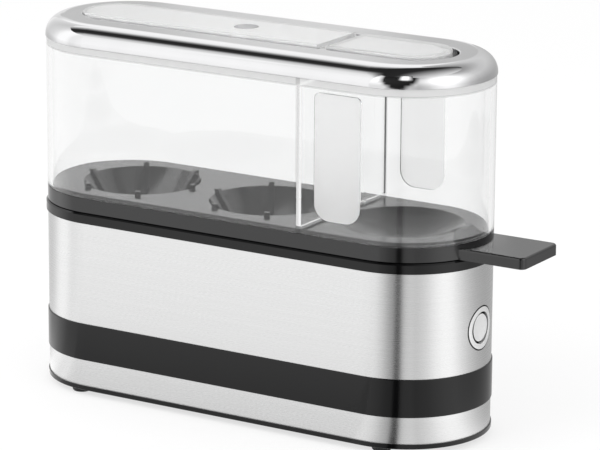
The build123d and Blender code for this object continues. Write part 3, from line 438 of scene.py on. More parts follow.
def soft_corners(corners, steps=6):
    """Profile (radius, height) whose corners are eased.

    Each corner (radius, height, ease) becomes the parabola that leaves the incoming side at the distance
    ease before the corner and joins the outgoing side at that distance after it.
    """
    data = np.array(corners, float)
    points = data[:, :2]
    ease = data[:, 2:]
    before = np.roll(points, 1, axis=0) - points
    after = np.roll(points, -1, axis=0) - points
    start = points + before * ease / np.maximum(np.linalg.norm(before, axis=1, keepdims=True), LEAST_LENGTH)
    stop = points + after * ease / np.maximum(np.linalg.norm(after, axis=1, keepdims=True), LEAST_LENGTH)
    t = np.linspace(0, 1, steps)[None, :, None]
    bend = (1 - t) ** 2 * start[:, None] + 2 * t * (1 - t) * points[:, None] + t**2 * stop[:, None]
    return bend.reshape(-1, 2)


def grid_object(name, grids, mat, wrap=False):
    """Mesh object over grids of points: each quad joins neighbours in both directions.

    With wrap, the first direction closes on itself, points that coincide are merged, which closes the poles,
    and the closed shell's faces are turned outwards.
    """
    vertices = []
    faces = []
    count = 0
    for points in grids:
        rows, columns = points.shape[:2]
        row, column = np.meshgrid(
            np.arange(rows if wrap else rows - 1), np.arange(columns - 1), indexing="ij"
        )
        far = (row + 1) % rows
        near_corners = [row * columns + column, far * columns + column]
        far_corners = [far * columns + column + 1, row * columns + column + 1]
        faces.append(np.stack(near_corners + far_corners, -1).reshape(-1, 4) + count)
        vertices.append(points.reshape(-1, 3))
        count += rows * columns
    mesh = bpy.data.meshes.new(name)
    mesh.from_pydata(np.concatenate(vertices).tolist(), [], np.concatenate(faces).tolist())
    if wrap:
        shape = bmesh.new()
        shape.from_mesh(mesh)
        bmesh.ops.remove_doubles(shape, verts=shape.verts, dist=MERGE_DISTANCE)
        bmesh.ops.dissolve_degenerate(shape, edges=shape.edges, dist=MERGE_DISTANCE)
        bmesh.ops.recalc_face_normals(shape, faces=shape.faces)
        shape.to_mesh(mesh)
        shape.free()
        mesh.shade_smooth()
        mesh.set_sharp_from_angle(angle=SHARP_ANGLE)
    mesh.materials.append(mat)
    thing = bpy.data.objects.new(name, mesh)
    bpy.context.scene.collection.objects.link(thing)
    return thing


def panel(sizes, face, inwards):
    """Closed upright panel: its rounded outline, drawn in from the edge and back from its face.

    The outline is straight sides joined by quarter circles. Each step of the profile (inset, depth) moves it
    inwards along its own normal and back from the face. The first and last steps shrink it to its middle.
    """
    half = np.array([GRIPS_HIGH.x - GRIPS_LOW.x, GRIPS_HIGH.z - GRIPS_LOW.z]) / 2
    middle = np.array([GRIPS_HIGH.x + GRIPS_LOW.x, GRIPS_HIGH.z + GRIPS_LOW.z]) / 2
    side = np.array([[1, -1], [1, 1], [-1, 1], [-1, -1]])[:, None]
    low, top = sizes.low_corner, sizes.top_corner
    radius = np.array([low, top, top, low])[:, None, None]
    angle = np.linspace(0, pi / 2, CORNER_STEPS)[None] + np.array([-pi / 2, 0, pi / 2, pi])[:, None]
    normal = np.stack([np.cos(angle), np.sin(angle)], -1)
    outline = (side * (half - radius) + radius * normal).reshape(-1, 1, 2)
    normal = normal.reshape(-1, 1, 2)
    ease, back = sizes.ease, sizes.thickness
    edge = soft_corners([(ease, 0, 0), (0, 0, ease), (0, back, ease), (ease, back, 0)])
    drawn = outline - normal * edge[None, :, :1]
    flat = np.concatenate([0 * outline, drawn, 0 * outline], axis=1) + middle
    depth = np.concatenate([[0], edge[:, 1], [back]])
    y = np.broadcast_to(face + inwards * depth, flat.shape[:2])
    return np.stack([flat[..., 0], y, flat[..., 1]], -1)


def settings():
    """The values that a user would change."""
    return bpy.context.scene.egg_cooker


class EGGCOOKER_OT_steel_skins(Operator):
    """Brush the two steel sleeves level round the body"""

    bl_idname = "eggcooker.steel_skins"
    bl_label = "Steel skins"

    stretch: FloatProperty(
        name="Stretch", description="How far the brushing draws out a highlight", default=0.8, min=0, max=1,
    )
    stretch_turn: FloatProperty(
        name="Stretch turn", description="Turn of the drawn-out highlight, in whole turns", default=0.25,
    )

    def execute(self, context):
        finish = settings().finish
        mat = brushed(
            "brushed_steel", finish.steel, finish.brush_pitch, finish.brush_length, (0.245, 0.29)
        )
        shader = mat.node_tree.nodes["Principled BSDF"]
        shader.inputs["Anisotropic"].default_value = self.stretch
        shader.inputs["Anisotropic Rotation"].default_value = self.stretch_turn
        around = add_node(mat, "ShaderNodeTangent", direction_type="RADIAL", axis="Z")
        to_shader(mat, "Tangent", around.outputs["Tangent"])
        dress(mat, "upper_sleeve", "lower_sleeve")
        return {"FINISHED"}


class EGGCOOKER_OT_black_mouldings(Operator):
    """Grain the band, the collar, the base plate, the gland and the housing"""

    bl_idname = "eggcooker.black_mouldings"
    bl_label = "Black mouldings"

    def execute(self, context):
        finish = settings().finish
        dress(
            grained("satin_black", finish.black, finish.grain_pitch, (0.07, 0.11), specular_ior_level=0.31),
            "trim_band", "collar", "base_plate", "cord_gland", "gland_nut",
        )
        dress(
            grained(
                "housing_black", finish.black, finish.grain_pitch * 2, (0.45, 0.55), specular_ior_level=0.3
            ),
            "inner_housing",
        )
        return {"FINISHED"}


class EGGCOOKER_OT_egg_tray(Operator):
    """Polish the egg tray to half gloss"""

    bl_idname = "eggcooker.egg_tray"
    bl_label = "Egg tray"

    def execute(self, context):
        finish = settings().finish
        mat = grained(
            "half_gloss_black", finish.black, finish.grain_pitch, (0.1, 0.15), depth=0.006 * MM,
            specular_ior_level=0.6,
        )
        dress(mat, "egg_tray")
        return {"FINISHED"}


class EGGCOOKER_OT_clear_lid(Operator):
    """Clear the lid shell, with a milky flange and painted shade on its seam line and cross wall, its window
    and the measuring cup
    """

    bl_idname = "eggcooker.clear_lid"
    bl_label = "Clear lid"

    flange_depth: FloatProperty(
        name="Flange depth", description="Height of the milky flange under the lid's frame", unit="LENGTH",
        default=2.8 * MM,
    )
    flange_clear: FloatProperty(
        name="Flange clearness", description="Share of the flange that stays clear", default=0.3,
        min=0, max=1,
    )
    wall_place: FloatProperty(
        name="Wall place", description="Distance of the cross wall from the middle", unit="LENGTH",
        default=31.6 * MM,
    )
    # Painted shade: a grey band of this half width down the cross wall, standing in for clear plastic seen
    # edge on
    wall_shade_half: FloatProperty(
        name="Wall half", description="Half the width of the tint in the cross wall", unit="LENGTH",
        default=0.8 * MM,
    )
    # Painted shade: the grey that the seam line and the cross wall take in place of the clear tint
    painted_edge_shade: FloatVectorProperty(
        name="Edge tint", description="Tint where the clear plastic is seen edge on", subtype="COLOR",
        size=4, min=0, max=1, default=(0.68, 0.68, 0.68, 1.0),
    )
    # Painted shade: a grey line of this half height at the foot of the flange
    seam_shade_half: FloatProperty(
        name="Seam half", description="Half the height of the seam line under the flange", unit="LENGTH",
        default=0.3 * MM,
    )
    window_clear: FloatProperty(
        name="Window clearness", description="Share of light that the milky window lets through",
        default=0.64, min=0, max=1,
    )

    def execute(self, context):
        finish = settings().finish
        lid = clear("clear_lid", finish.clear, (0.01, 0.03))
        parts = object_place(lid)[1]
        flange = SHELL_HIGH.z - self.flange_depth
        frost = stripe(lid, parts["Z"], SHELL_HIGH.z, self.flange_depth)
        to_shader(lid, "Transmission Weight", ranged(lid, frost, 1.0, self.flange_clear))
        # The seam line and the cross wall get painted shade: their base colour turns from the clear tint to
        # a grey, standing in for the dark lines where clear plastic is seen edge on
        seam = stripe(lid, parts["Z"], flange, self.seam_shade_half)
        wall = stripe(lid, parts["X"], self.wall_place, self.wall_shade_half)
        tint = add_node(lid, "ShaderNodeValToRGB", {"Fac": combine(lid, "MAXIMUM", seam, wall)})
        for element, colour in zip(tint.color_ramp.elements, (finish.clear, self.painted_edge_shade)):
            element.color = colour
        to_shader(lid, "Base Color", tint.outputs["Color"])
        dress(lid, "lid_shell")
        milky = clear("milky_window", finish.clear, (0.12, 0.2))
        shader = milky.node_tree.nodes["Principled BSDF"]
        shader.inputs["Transmission Weight"].default_value = self.window_clear
        dress(milky, "lid_window", "measuring_cup")
        return {"FINISHED"}


class EGGCOOKER_OT_frosted_grips(Operator):
    """Mould the two frosted grip panels, let into the lid's front and rear walls with room behind them"""

    bl_idname = "eggcooker.frosted_grips"
    bl_label = "Frosted grips"

    low_corner: FloatProperty(
        name="Low corner", description="Radius of a panel's lower corners", unit="LENGTH", default=5.9 * MM,
    )
    top_corner: FloatProperty(
        name="Top corner", description="Radius of a panel's upper corners", unit="LENGTH", default=1.9 * MM,
    )
    thickness: FloatProperty(
        name="Thickness", description="Thickness of a panel", unit="LENGTH", default=0.6 * MM,
    )
    ease: FloatProperty(
        name="Ease", description="Rounding of a panel's edges", unit="LENGTH", default=0.15 * MM,
    )
    front_clear: FloatProperty(
        name="Front clearness", description="Share of light that the front panel lets through", default=0.64,
        min=0, max=1,
    )
    rear_clear: FloatProperty(
        name="Rear clearness", description="Share of light that the rear panel lets through", default=1.0,
        min=0, max=1,
    )

    def execute(self, context):
        finish = settings().finish
        grids = [panel(self, GRIPS_LOW.y, 1), panel(self, GRIPS_HIGH.y, -1)]
        frosted = clear("frosted_grip", finish.satin, (0.36, 0.46))
        front = stripe(frosted, object_place(frosted)[1]["Y"], GRIPS_LOW.y, self.thickness)
        to_shader(frosted, "Transmission Weight", ranged(frosted, front, self.rear_clear, self.front_clear))
        grips = grid_object("frosted_grip_panels", grids, frosted, wrap=True)
        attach(grips, "lid")
        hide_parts("lid_grips")
        return {"FINISHED"}


class EGGCOOKER_OT_chrome_trim(Operator):
    """Plate the lid's frame with bright chrome"""

    bl_idname = "eggcooker.chrome_trim"
    bl_label = "Chrome trim"

    def execute(self, context):
        finish = settings().finish
        mat = new_material("bright_chrome", finish.chrome, metallic=1.0)
        smudge = grain(mat, 18 * MM, 4.0)
        to_shader(mat, "Base Color", shade(mat, smudge, finish.chrome, 0.02))
        to_shader(mat, "Roughness", spread(mat, smudge, 0.03, 0.06))
        bump(mat, grain(mat, 30 * MM, 1.0), 0.15, 0.02 * MM)
        dress(mat, "lid_trim_ring")
        return {"FINISHED"}


class EGGCOOKER_OT_start_button(Operator):
    """Turn the start button's dished cap and its bezel, curved like the round end, with painted shade on
    their edges, and finish the stem
    """

    bl_idname = "eggcooker.start_button"
    bl_label = "Start button"

    bezel_land: FloatProperty(
        name="Bezel land", description="Depth of the bezel in front of its barrel", unit="LENGTH",
        default=1.8 * MM,
    )
    barrel_wall: FloatProperty(
        name="Barrel wall", description="Wall of the barrel that guides the cap", unit="LENGTH",
        default=0.8 * MM,
    )
    cap_clearance: FloatProperty(
        name="Cap clearance", description="Gap between the cap and the bezel", unit="LENGTH",
        default=0.7 * MM,
    )
    end_radius: FloatProperty(
        name="End radius", description="Radius of the round end that the bezel's face follows",
        unit="LENGTH", default=30.1 * MM,
    )
    # Painted shade: the sides below this depth and the edges of bezel and cap within the two widths below
    # are painted dark, standing in for the shadow in the gaps
    bright_depth: FloatProperty(
        name="Bright depth", description="How far the silver reaches down a side; it is dark below that",
        unit="LENGTH", default=0.3 * MM,
    )
    ring_painted_shade: FloatProperty(
        name="Ring dark", description="Width of the dark edge round the bezel", unit="LENGTH",
        default=0.15 * MM,
    )
    cap_painted_shade: FloatProperty(
        name="Cap dark", description="Width of the dark edge round the cap", unit="LENGTH", default=0.1 * MM,
    )

    def silver_and_painted_gap_shade(self, mat, colour, face, centre, radius):
        """Silver near a face and within a radius of the button's axis, painted shade elsewhere, standing in
        for the shadow in the gaps.
        """
        place, parts = object_place(mat)
        near = within(mat, combine(mat, "SUBTRACT", face, parts["X"]), self.bright_depth)
        across = add_node(mat, "ShaderNodeVectorMath", {0: place, 1: (0, 1, 1)}, operation="MULTIPLY")
        away = add_node(mat, "ShaderNodeVectorMath", {0: across.outputs[0], 1: centre}, operation="DISTANCE")
        inside = within(mat, away.outputs["Value"], radius - SOFT_EDGE)
        both = combine(mat, "MULTIPLY", near, inside)
        to_shader(mat, "Base Color", ranged(mat, both, PAINTED_GAP_SHADE, colour[0]))

    def execute(self, context):
        finish = settings().finish
        cap_radius = (CAP_HIGH.z - CAP_LOW.z) / 2
        centre = (0.0, 0.0, (CAP_LOW.z + CAP_HIGH.z) / 2)
        silver = grained(
            "satin_silver", finish.silver, 0.12 * MM, (0.28, 0.38), 0.03, 0.004 * MM, metallic=0.6
        )
        cap_silver = grained(
            "cap_silver", finish.silver, 0.12 * MM, (0.32, 0.42), 0.03, 0.004 * MM, metallic=0.35
        )
        # The dish is a parabola: its depth at a radius is the full depth times 1 minus the square of that
        # radius over the rim's
        rim = np.linspace(0, DISH_SHARE, DISH_STEPS)
        hollow = settings().detail.cap_dish * (1 - (rim / DISH_SHARE) ** 2)
        dish = np.stack([rim * cap_radius, CAP_HIGH.x - hollow], 1)
        edge = soft_corners(
            [
                (cap_radius * DISH_SHARE, CAP_HIGH.x, 0),
                (cap_radius, CAP_HIGH.x, 0.25 * MM),
                (cap_radius, CAP_LOW.x, 0.2 * MM),
                (0, CAP_LOW.x, 0),
            ]
        )
        face = np.concatenate([dish, edge])
        dish_low = CAP_HIGH.x - settings().detail.cap_dish
        # Painted shade on the cap's edge and side, standing in for the shadow in the gap round it
        self.silver_and_painted_gap_shade(cap_silver, finish.silver, dish_low, centre, cap_radius - self.cap_painted_shade)
        cap = grid_object("start_button_cap", turned(face, [centre], (1, 0, 0)), cap_silver, wrap=True)
        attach(cap, "start_button")
        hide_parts("button_cap")

        outer = (RING_HIGH.z - RING_LOW.z) / 2
        bore = cap_radius + self.cap_clearance
        seat = RING_HIGH.x - self.bezel_land
        loop = soft_corners(
            [
                (outer, RING_HIGH.x, 0.2 * MM),
                (outer, seat, 0.1 * MM),
                (bore + self.barrel_wall, seat, 0),
                (bore + self.barrel_wall, RING_LOW.x, 0.1 * MM),
                (bore, RING_LOW.x, 0.1 * MM),
                (bore, RING_HIGH.x, 0.2 * MM),
            ]
        )
        loop = np.concatenate([loop, loop[:1]])
        bezel = turned(loop, [centre], (1, 0, 0))[0]
        # The face follows the round end: at y it falls back by the end's radius minus the root of that
        # radius squared less y squared. What lies between seat and face follows in proportion to its height
        drop = self.end_radius - np.sqrt(self.end_radius**2 - bezel[..., 1] ** 2)
        share = np.clip((bezel[..., 0] - seat) / self.bezel_land, 0, 1)
        bezel[..., 0] -= share * drop
        # Painted shade on the bezel's edge and sides, standing in for the shadow in the gaps beside it
        self.silver_and_painted_gap_shade(silver, finish.silver, RING_HIGH.x - drop.max(), centre, outer - self.ring_painted_shade)
        ring = grid_object("start_button_bezel", [bezel], silver, wrap=True)
        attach(ring, "base")
        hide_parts("button_ring")

        ivory = grained("ivory_stem", (0.62, 0.60, 0.54, 1), 0.3 * MM, (0.35, 0.5), specular_ior_level=0.4)
        dress(ivory, "button_plunger", "switch_plunger")
        return {"FINISHED"}


class EGGCOOKER_OT_rubber_feet(Operator):
    """Mould the four feet, with grooves in the face that stands on the table"""

    bl_idname = "eggcooker.rubber_feet"
    bl_label = "Rubber feet"

    foot_radius: FloatProperty(
        name="Foot radius", description="Radius of a foot's pad", unit="LENGTH", default=3.5 * MM,
    )
    peg_radius: FloatProperty(
        name="Peg radius", description="Radius of the peg in the base plate", unit="LENGTH",
        default=1.6 * MM,
    )
    groove_count: IntProperty(
        name="Grooves", description="Number of grooves from a foot's middle to its edge", default=3,
    )

    def execute(self, context):
        finish = settings().finish
        radius = self.foot_radius
        # The grooves are rings: their depth follows the square of a sine from the middle to the sole's edge
        along = np.linspace(0, SOLE_SHARE, SOLE_STEPS)
        groove = settings().detail.foot_groove * np.sin(pi * self.groove_count * along / SOLE_SHARE) ** 2
        sole = np.stack([along * radius, groove], 1)
        pad = soft_corners(
            [
                (radius * SOLE_SHARE, 0, 0),
                (radius * SOLE_EDGE_SHARE, 0, 0.1 * MM),
                (radius, 0.5 * MM, 0.2 * MM),
                (radius, PLATE_LOW.z, 0),
                (self.peg_radius, PLATE_LOW.z, 0),
                (self.peg_radius, FEET_HIGH.z, 0.3 * MM),
                (0, FEET_HIGH.z, 0),
            ]
        )
        x = FEET_HIGH.x - radius
        y = FEET_HIGH.y - radius
        places = [(-x, -y, 0), (x, -y, 0), (-x, y, 0), (x, y, 0)]
        rubber = grained("foot_rubber", finish.rubber, 0.25 * MM, (0.65, 0.8), 0.2)
        feet = grid_object(
            "grooved_feet", turned(np.concatenate([sole, pad]), places, (0, 0, 1)), rubber, wrap=True
        )
        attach(feet, "base")
        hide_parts("rubber_feet")
        return {"FINISHED"}


class EGGCOOKER_OT_base_screws(Operator):
    """Turn the four base screws and press a cross into each head"""

    bl_idname = "eggcooker.base_screws"
    bl_label = "Base screws"

    head_radius: FloatProperty(
        name="Head radius", description="Radius of a screw head", unit="LENGTH", default=2.8 * MM,
    )
    head_height: FloatProperty(
        name="Head height", description="Height of a screw head", unit="LENGTH", default=1.8 * MM,
    )
    shank_radius: FloatProperty(
        name="Shank radius", description="Radius of a screw's thread", unit="LENGTH", default=1.45 * MM,
    )
    thread_pitch: FloatProperty(
        name="Thread pitch", description="Distance between a screw's ridges", unit="LENGTH",
        default=1.2 * MM,
    )
    neck: FloatProperty(
        name="Neck", description="Bare length between a screw's head and its ridges", unit="LENGTH",
        default=0.2 * MM,
    )
    point: FloatProperty(
        name="Point", description="Length of a screw's point past its ridges", unit="LENGTH",
        default=1.5 * MM,
    )
    blunt: FloatProperty(
        name="Blunt", description="Length of the blunt end of a screw's point", unit="LENGTH",
        default=0.4 * MM,
    )
    arm_edge: FloatProperty(
        name="Arm edge", description="Width of the slope along an arm of the cross", unit="LENGTH",
        default=0.15 * MM,
    )
    arm_end: FloatProperty(
        name="Arm end", description="Length of the slope at an arm's end", unit="LENGTH", default=0.3 * MM,
    )

    def execute(self, context):
        detail = settings().detail
        head = SCREWS_LOW.z
        shoulder = head + self.head_height
        tip = SCREWS_HIGH.z
        along = np.linspace(0, HEAD_FLAT_SHARE, HEAD_STEPS)
        face = np.stack([along * self.head_radius, np.full(HEAD_STEPS, head)], 1)
        side = soft_corners(
            [
                (self.head_radius * HEAD_FLAT_SHARE, head, 0),
                (self.head_radius, head + 0.3 * MM, 0.2 * MM),
                (self.head_radius, shoulder, 0.05 * MM),
                (self.shank_radius, shoulder, 0),
            ]
        )
        # The ridges are rings: the radius follows a cosine of the height, once for each pitch
        run = np.linspace(shoulder + self.neck, tip - self.point, THREAD_STEPS)
        wave = np.cos(2 * pi * run / self.thread_pitch)
        ridge = self.shank_radius * (1 - RIDGE_SHARE + RIDGE_SHARE * wave)
        shank = np.stack([ridge, run], 1)
        end = np.array([[self.shank_radius * TIP_SHARE, tip - self.blunt], [0, tip]])
        profile = np.concatenate([face, side, shank, end])
        x = SCREWS_HIGH.x - self.head_radius
        y = SCREWS_HIGH.y - self.head_radius
        grids = turned(profile, [(-x, 0, 0), (x, 0, 0), (0, -y, 0), (0, y, 0)], (0, 0, 1))
        # The cross has its full depth where an arm covers the point, and none past the slopes at its edges
        local = turned(profile, [(0, 0, 0)], (0, 0, 1))[0]
        aside = np.sort(np.abs(local[..., :2]), axis=-1)
        arm = np.clip((detail.drive_width / 2 - aside[..., 0]) / self.arm_edge + 0.5, 0, 1)
        reach = np.clip((self.head_radius * CROSS_SHARE - aside[..., 1]) / self.arm_end + 0.5, 0, 1)
        on_face = (np.arange(len(profile)) < len(face))[None, :]
        lift = detail.drive_depth * arm * reach * on_face
        for points in grids:
            points[..., 2] += lift
        steel = grained(
            "screw_steel", (0.52, 0.52, 0.53, 1), 0.2 * MM, (0.25, 0.4), 0.06, 0.004 * MM, metallic=1.0
        )
        screws = grid_object("cross_head_screws", grids, steel, wrap=True)
        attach(screws, "base")
        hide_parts("base_screws")
        return {"FINISHED"}


class EGGCOOKER_OT_water_dish(Operator):
    """Draw the water dish in satin steel and set its seal"""

    bl_idname = "eggcooker.water_dish"
    bl_label = "Water dish"

    def execute(self, context):
        dish = brushed("dish_steel", (0.58, 0.575, 0.565, 1), 0.3 * MM, 30 * MM, (0.22, 0.34), True)
        dress(dish, "heating_dish")
        dress(grained("seal_rubber", (0.22, 0.2, 0.19, 1), 0.4 * MM, (0.55, 0.7)), "dish_seal")
        return {"FINISHED"}


class EGGCOOKER_OT_heater(Operator):
    """Finish the heating parts under the dish"""

    bl_idname = "eggcooker.heater"
    bl_label = "Heater"

    def execute(self, context):
        dress(
            grained("sheath_steel", (0.3, 0.28, 0.26, 1), 0.3 * MM, (0.35, 0.5), 0.2, metallic=1.0),
            "heating_element", "thermostat_clip",
        )
        dress(
            brushed("spreader_aluminium", (0.78, 0.78, 0.79, 1), 0.4 * MM, 20 * MM, (0.35, 0.5), True),
            "heat_spreader", "thermal_fuse",
        )
        dress(
            grained("pin_brass", (0.72, 0.52, 0.24, 1), 0.2 * MM, (0.25, 0.4), 0.08, metallic=1.0),
            "heater_pins",
        )
        dress(grained("thermostat_black", (0.02, 0.02, 0.022, 1), 0.4 * MM, (0.4, 0.55)), "thermostat")
        return {"FINISHED"}


class EGGCOOKER_OT_electronics(Operator):
    """Finish the control board and what sits on it"""

    bl_idname = "eggcooker.electronics"
    bl_label = "Electronics"

    def execute(self, context):
        dress(grained("board_green", (0.02, 0.13, 0.05, 1), 0.5 * MM, (0.3, 0.45)), "control_board")
        dress(
            grained("electric_black", (0.018, 0.018, 0.02, 1), 0.3 * MM, (0.4, 0.55)),
            "tact_switch", "buzzer",
        )
        dress(grained("relay_blue", (0.02, 0.08, 0.30, 1), 0.4 * MM, (0.3, 0.42)), "power_relay")
        dress(
            grained("connector_ivory", (0.66, 0.64, 0.57, 1), 0.4 * MM, (0.4, 0.55)),
            "board_connectors", "terminal_block",
        )
        lens = clear("light_lens", (0.9, 0.5, 0.35, 1), (0.05, 0.12))
        dress(lens, "indicator_light")
        return {"FINISHED"}


class EGGCOOKER_OT_wiring(Operator):
    """Sheathe the inner wires in grained insulation"""

    bl_idname = "eggcooker.wiring"
    bl_label = "Wiring"

    def execute(self, context):
        colours = {
            "live_wire": (0.13, 0.05, 0.02, 1),
            "neutral_wire": (0.02, 0.10, 0.38, 1),
            "heater_wire": (0.72, 0.71, 0.68, 1),
        }
        for node, colour in colours.items():
            dress(grained("sheath_" + node, colour, 0.3 * MM, (0.4, 0.55), 0.08), node)
        return {"FINISHED"}


def seen_share(tree):
    """1 for rays that carry the picture: from the camera, off a mirror or through clear plastic."""
    path = add_node(tree, "ShaderNodeLightPath")
    seen = path.outputs["Is Camera Ray"]
    for kind in ("Is Glossy Ray", "Is Transmission Ray"):
        seen = combine(tree, "MAXIMUM", seen, path.outputs[kind])
    return seen


def card_paint():
    """Material of the studio's cards: a plain glow that each card holds in its own attribute."""
    mat = bpy.data.materials.new("card_paint")
    mat.use_nodes = True
    mat.node_tree.nodes.clear()
    level = add_node(mat, "ShaderNodeAttribute", attribute_name="glow")
    light = add_node(mat, "ShaderNodeEmission", {"Strength": level.outputs["Fac"]})
    add_node(mat, "ShaderNodeOutputMaterial", {"Surface": light.outputs["Emission"]})
    return mat


def direction(azimuth):
    """Level direction at an azimuth in degrees, from the front (-Y) towards the button end (+X)."""
    return np.array([sin(radians(azimuth)), -cos(radians(azimuth)), 0.0])


def mirror_card(name, grid, glow, mat):
    """Studio card that only reflections show, over a grid of points with a glow for each."""
    card = grid_object(name, [grid], mat)
    level = card.data.attributes.new("glow", "FLOAT", "POINT")
    level.data.foreach_set("value", np.broadcast_to(glow, grid.shape[:2]).ravel())
    card.visible_camera = False
    card.visible_diffuse = False
    card.visible_transmission = False
    card.visible_shadow = False


def tent(name, centre, keys, profile, mat):
    """Graded card: profile points (distance, height, gain, flag) carried round a centre.

    The point at azimuth a is centre + distance * (sin a, -cos a, 0) + height * (0, 0, 1). Its glow is read
    between the keys (azimuth, glow), multiplied by the gain and dimmed within the flag's half width.
    """
    azimuth, glow = np.array(keys, float).T
    steps = np.linspace(azimuth[0], azimuth[-1], TENT_STEPS)
    turn = np.radians(steps)
    level = np.stack([np.sin(turn), -np.cos(turn), 0 * turn], 1)[:, None, :]
    points = np.array(profile, float)[None]
    grid = np.array(centre) + level * points[..., :1] + np.array([0.0, 0.0, 1.0]) * points[..., 1:2]
    beside = np.abs(steps[:, None] - FLAG_AZIMUTH)
    dark = np.clip(1 + (points[..., 3] - beside) / FLAG_SOFTNESS, 0, 1)
    around = np.interp(steps, azimuth, glow)[:, None]
    mirror_card(name, grid, around * points[..., 2] * (1 - FLAG_DEPTH * dark), mat)


def sheet(name, x_keys, profile, mat):
    """Graded card: a side view of points (y, z, glow) drawn out along X by keys (x, share, glow, shift).

    Between its points the side view runs straight, moved back by the shift at x. Of its glow the share at x
    counts, and the glow at x is added.
    """
    x_place, x_share, x_glow, x_shift = np.array(x_keys, float).T
    y_key, z_key, glow_key = np.array(profile, float).T
    turn = np.arange(len(profile))
    run = np.linspace(0, len(profile) - 1, SHEET_STEPS)
    x, along = np.meshgrid(np.linspace(x_place[0], x_place[-1], SHEET_STEPS), run, indexing="ij")
    y = np.interp(along, turn, y_key) + np.interp(x, x_place, x_shift)
    grid = np.stack([x, y, np.interp(along, turn, z_key)], -1)
    glow = np.interp(x, x_place, x_share) * np.interp(along, turn, glow_key) + np.interp(x, x_place, x_glow)
    mirror_card(name, grid, glow, mat)


def soft_lamp(name, power, size, azimuth, distance, height):
    """Area lamp at an azimuth, a distance and a height, facing the middle of the object."""
    place = Vector(direction(azimuth)) * distance + Vector((0, 0, height))
    data = bpy.data.lights.new(name, "AREA")
    data.shape = "RECTANGLE"
    data.size, data.size_y = size
    data.energy = power
    lamp = bpy.data.objects.new(name, data)
    lamp.location = place
    lamp.rotation_euler = (Vector(LAMP_AIM) - place).to_track_quat("-Z", "Y").to_euler()
    lamp.visible_glossy = False
    bpy.context.scene.collection.objects.link(lamp)


def white_room(scene, strength):
    """Even light from all round: white where it is seen, and of this strength where it only lights."""
    world = bpy.data.worlds.new("studio_room")
    world.use_nodes = True
    scene.world = world
    room = world.node_tree.nodes["Background"]
    room.inputs["Color"].default_value = WHITE
    world.node_tree.links.new(ranged(world, seen_share(world), strength, 1.0), room.inputs["Strength"])


def fitted_camera(scene):
    """Camera at the fitted eye, looking at the target and rolled about its line of sight."""
    forward = (TARGET - EYE).normalized()
    right = forward.cross(Vector((0, 0, 1))).normalized()
    up = right.cross(forward)
    across = right * cos(ROLL) + up * sin(ROLL)
    above = up * cos(ROLL) - right * sin(ROLL)
    data = bpy.data.cameras.new("photo_camera")
    data.sensor_width = SENSOR_MM
    data.lens = FOCAL_PIXELS * SENSOR_MM / IMAGE_WIDTH
    data.clip_end = FAR_CLIP
    camera = bpy.data.objects.new("photo_camera", data)
    turn = Matrix((across, above, -forward)).transposed().to_4x4()
    camera.matrix_world = Matrix.Translation(EYE) @ turn
    scene.collection.objects.link(camera)
    scene.camera = camera


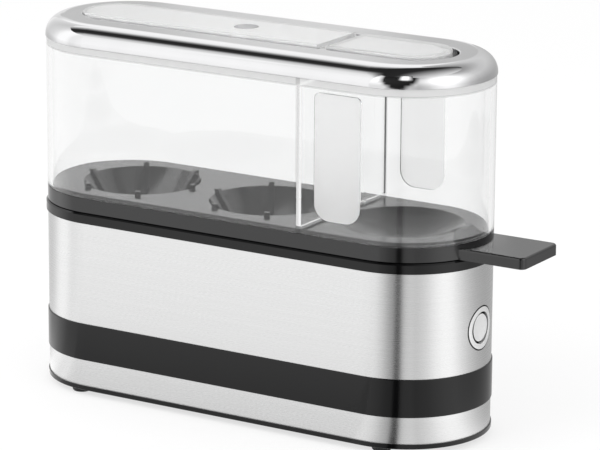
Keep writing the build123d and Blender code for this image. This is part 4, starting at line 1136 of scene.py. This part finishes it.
class EGGCOOKER_OT_studio(Operator):
    """Set the pale floor, the soft lamps, the studio cards and the camera"""

    bl_idname = "eggcooker.studio"
    bl_label = "Studio"

    floor_size: FloatProperty(
        name="Floor size", description="Half the side of the floor", unit="LENGTH", default=12.0,
    )

    def execute(self, context):
        studio = settings().studio
        scene = context.scene
        scene.view_settings.view_transform = "Standard"
        scene.cycles.max_bounces = LIGHT_BOUNCES
        scene.cycles.diffuse_bounces = LIGHT_BOUNCES
        scene.cycles.glossy_bounces = LIGHT_BOUNCES
        scene.cycles.transmission_bounces = LIGHT_BOUNCES

        white_room(scene, studio.room_light)
        floor_paint = new_material(
            "pale_floor", FLOOR_GREY, roughness=0.9, specular_ior_level=0.0, emission_color=WHITE
        )
        glow = combine(floor_paint, "MULTIPLY", seen_share(floor_paint), studio.floor_glow)
        to_shader(floor_paint, "Emission Strength", glow)
        edge = np.linspace(-self.floor_size, self.floor_size, 3)
        x, y = np.meshgrid(edge, edge, indexing="ij")
        floor = grid_object("floor", [np.stack([x, y, np.full_like(x, -FLOOR_DROP)], -1)], floor_paint)

        paint = card_paint()
        tent("graded_ground", BUTTON_END, GROUND_GLOW, GROUND_PROFILE, paint)
        tent("graded_wall", BUTTON_END, WALL_GLOW, WALL_PROFILE, paint)
        tent("far_wall", FAR_END, FAR_GLOW, FAR_PROFILE, paint)
        tent("small_softbox", BUTTON_END, SPARK_GLOW, SPARK_PROFILE, paint)
        sheet("front_ceiling", FRONT_CEILING_X, FRONT_CEILING_PROFILE, paint)
        sheet("rear_ceiling", REAR_CEILING_X, REAR_CEILING_PROFILE, paint)
        sheet("front_card", FRONT_X, FRONT_PROFILE, paint)
        sheet("rim_card", RIM_X, RIM_PROFILE, paint)

        soft_lamp("key_lamp", studio.key_power, KEY_SIZE, KEY_AZIMUTH, KEY_DISTANCE, KEY_HEIGHT)
        soft_lamp("side_lamp", studio.side_power, SIDE_SIZE, SIDE_AZIMUTH, SIDE_DISTANCE, SIDE_HEIGHT)
        fitted_camera(scene)
        return {"FINISHED"}


OPERATORS = (
    EGGCOOKER_OT_steel_skins,
    EGGCOOKER_OT_black_mouldings,
    EGGCOOKER_OT_egg_tray,
    EGGCOOKER_OT_clear_lid,
    EGGCOOKER_OT_frosted_grips,
    EGGCOOKER_OT_chrome_trim,
    EGGCOOKER_OT_start_button,
    EGGCOOKER_OT_rubber_feet,
    EGGCOOKER_OT_base_screws,
    EGGCOOKER_OT_water_dish,
    EGGCOOKER_OT_heater,
    EGGCOOKER_OT_electronics,
    EGGCOOKER_OT_wiring,
    EGGCOOKER_OT_studio,
)


class VIEW3D_PT_egg_cooker(Panel):
    """Values and steps of the egg cooker's dressing"""

    bl_label = "Egg cooker"
    bl_space_type = "VIEW_3D"
    bl_region_type = "UI"
    bl_category = "Egg cooker"

    def draw(self, context):
        values = context.scene.egg_cooker
        for group in (values.finish, values.detail, values.studio):
            box = self.layout.box()
            for name in group.__annotations__:
                box.prop(group, name)
        for step in OPERATORS:
            self.layout.operator(step.bl_idname)


CLASSES = (CookerFinish, CookerDetail, CookerStudio, CookerSettings, *OPERATORS, VIEW3D_PT_egg_cooker)


def register():
    """Add the classes and the settings to Blender."""
    for kind in CLASSES:
        bpy.utils.register_class(kind)
    bpy.types.Scene.egg_cooker = PointerProperty(type=CookerSettings)


def unregister():
    """Take the settings and the classes out again."""
    del bpy.types.Scene.egg_cooker
    for kind in reversed(CLASSES):
        bpy.utils.unregister_class(kind)


def main():
    """Run every step in order."""
    register()
    for step in OPERATORS:
        group, name = step.bl_idname.split(".")
        getattr(getattr(bpy.ops, group), name)()


if __name__ == "__main__":
    main()
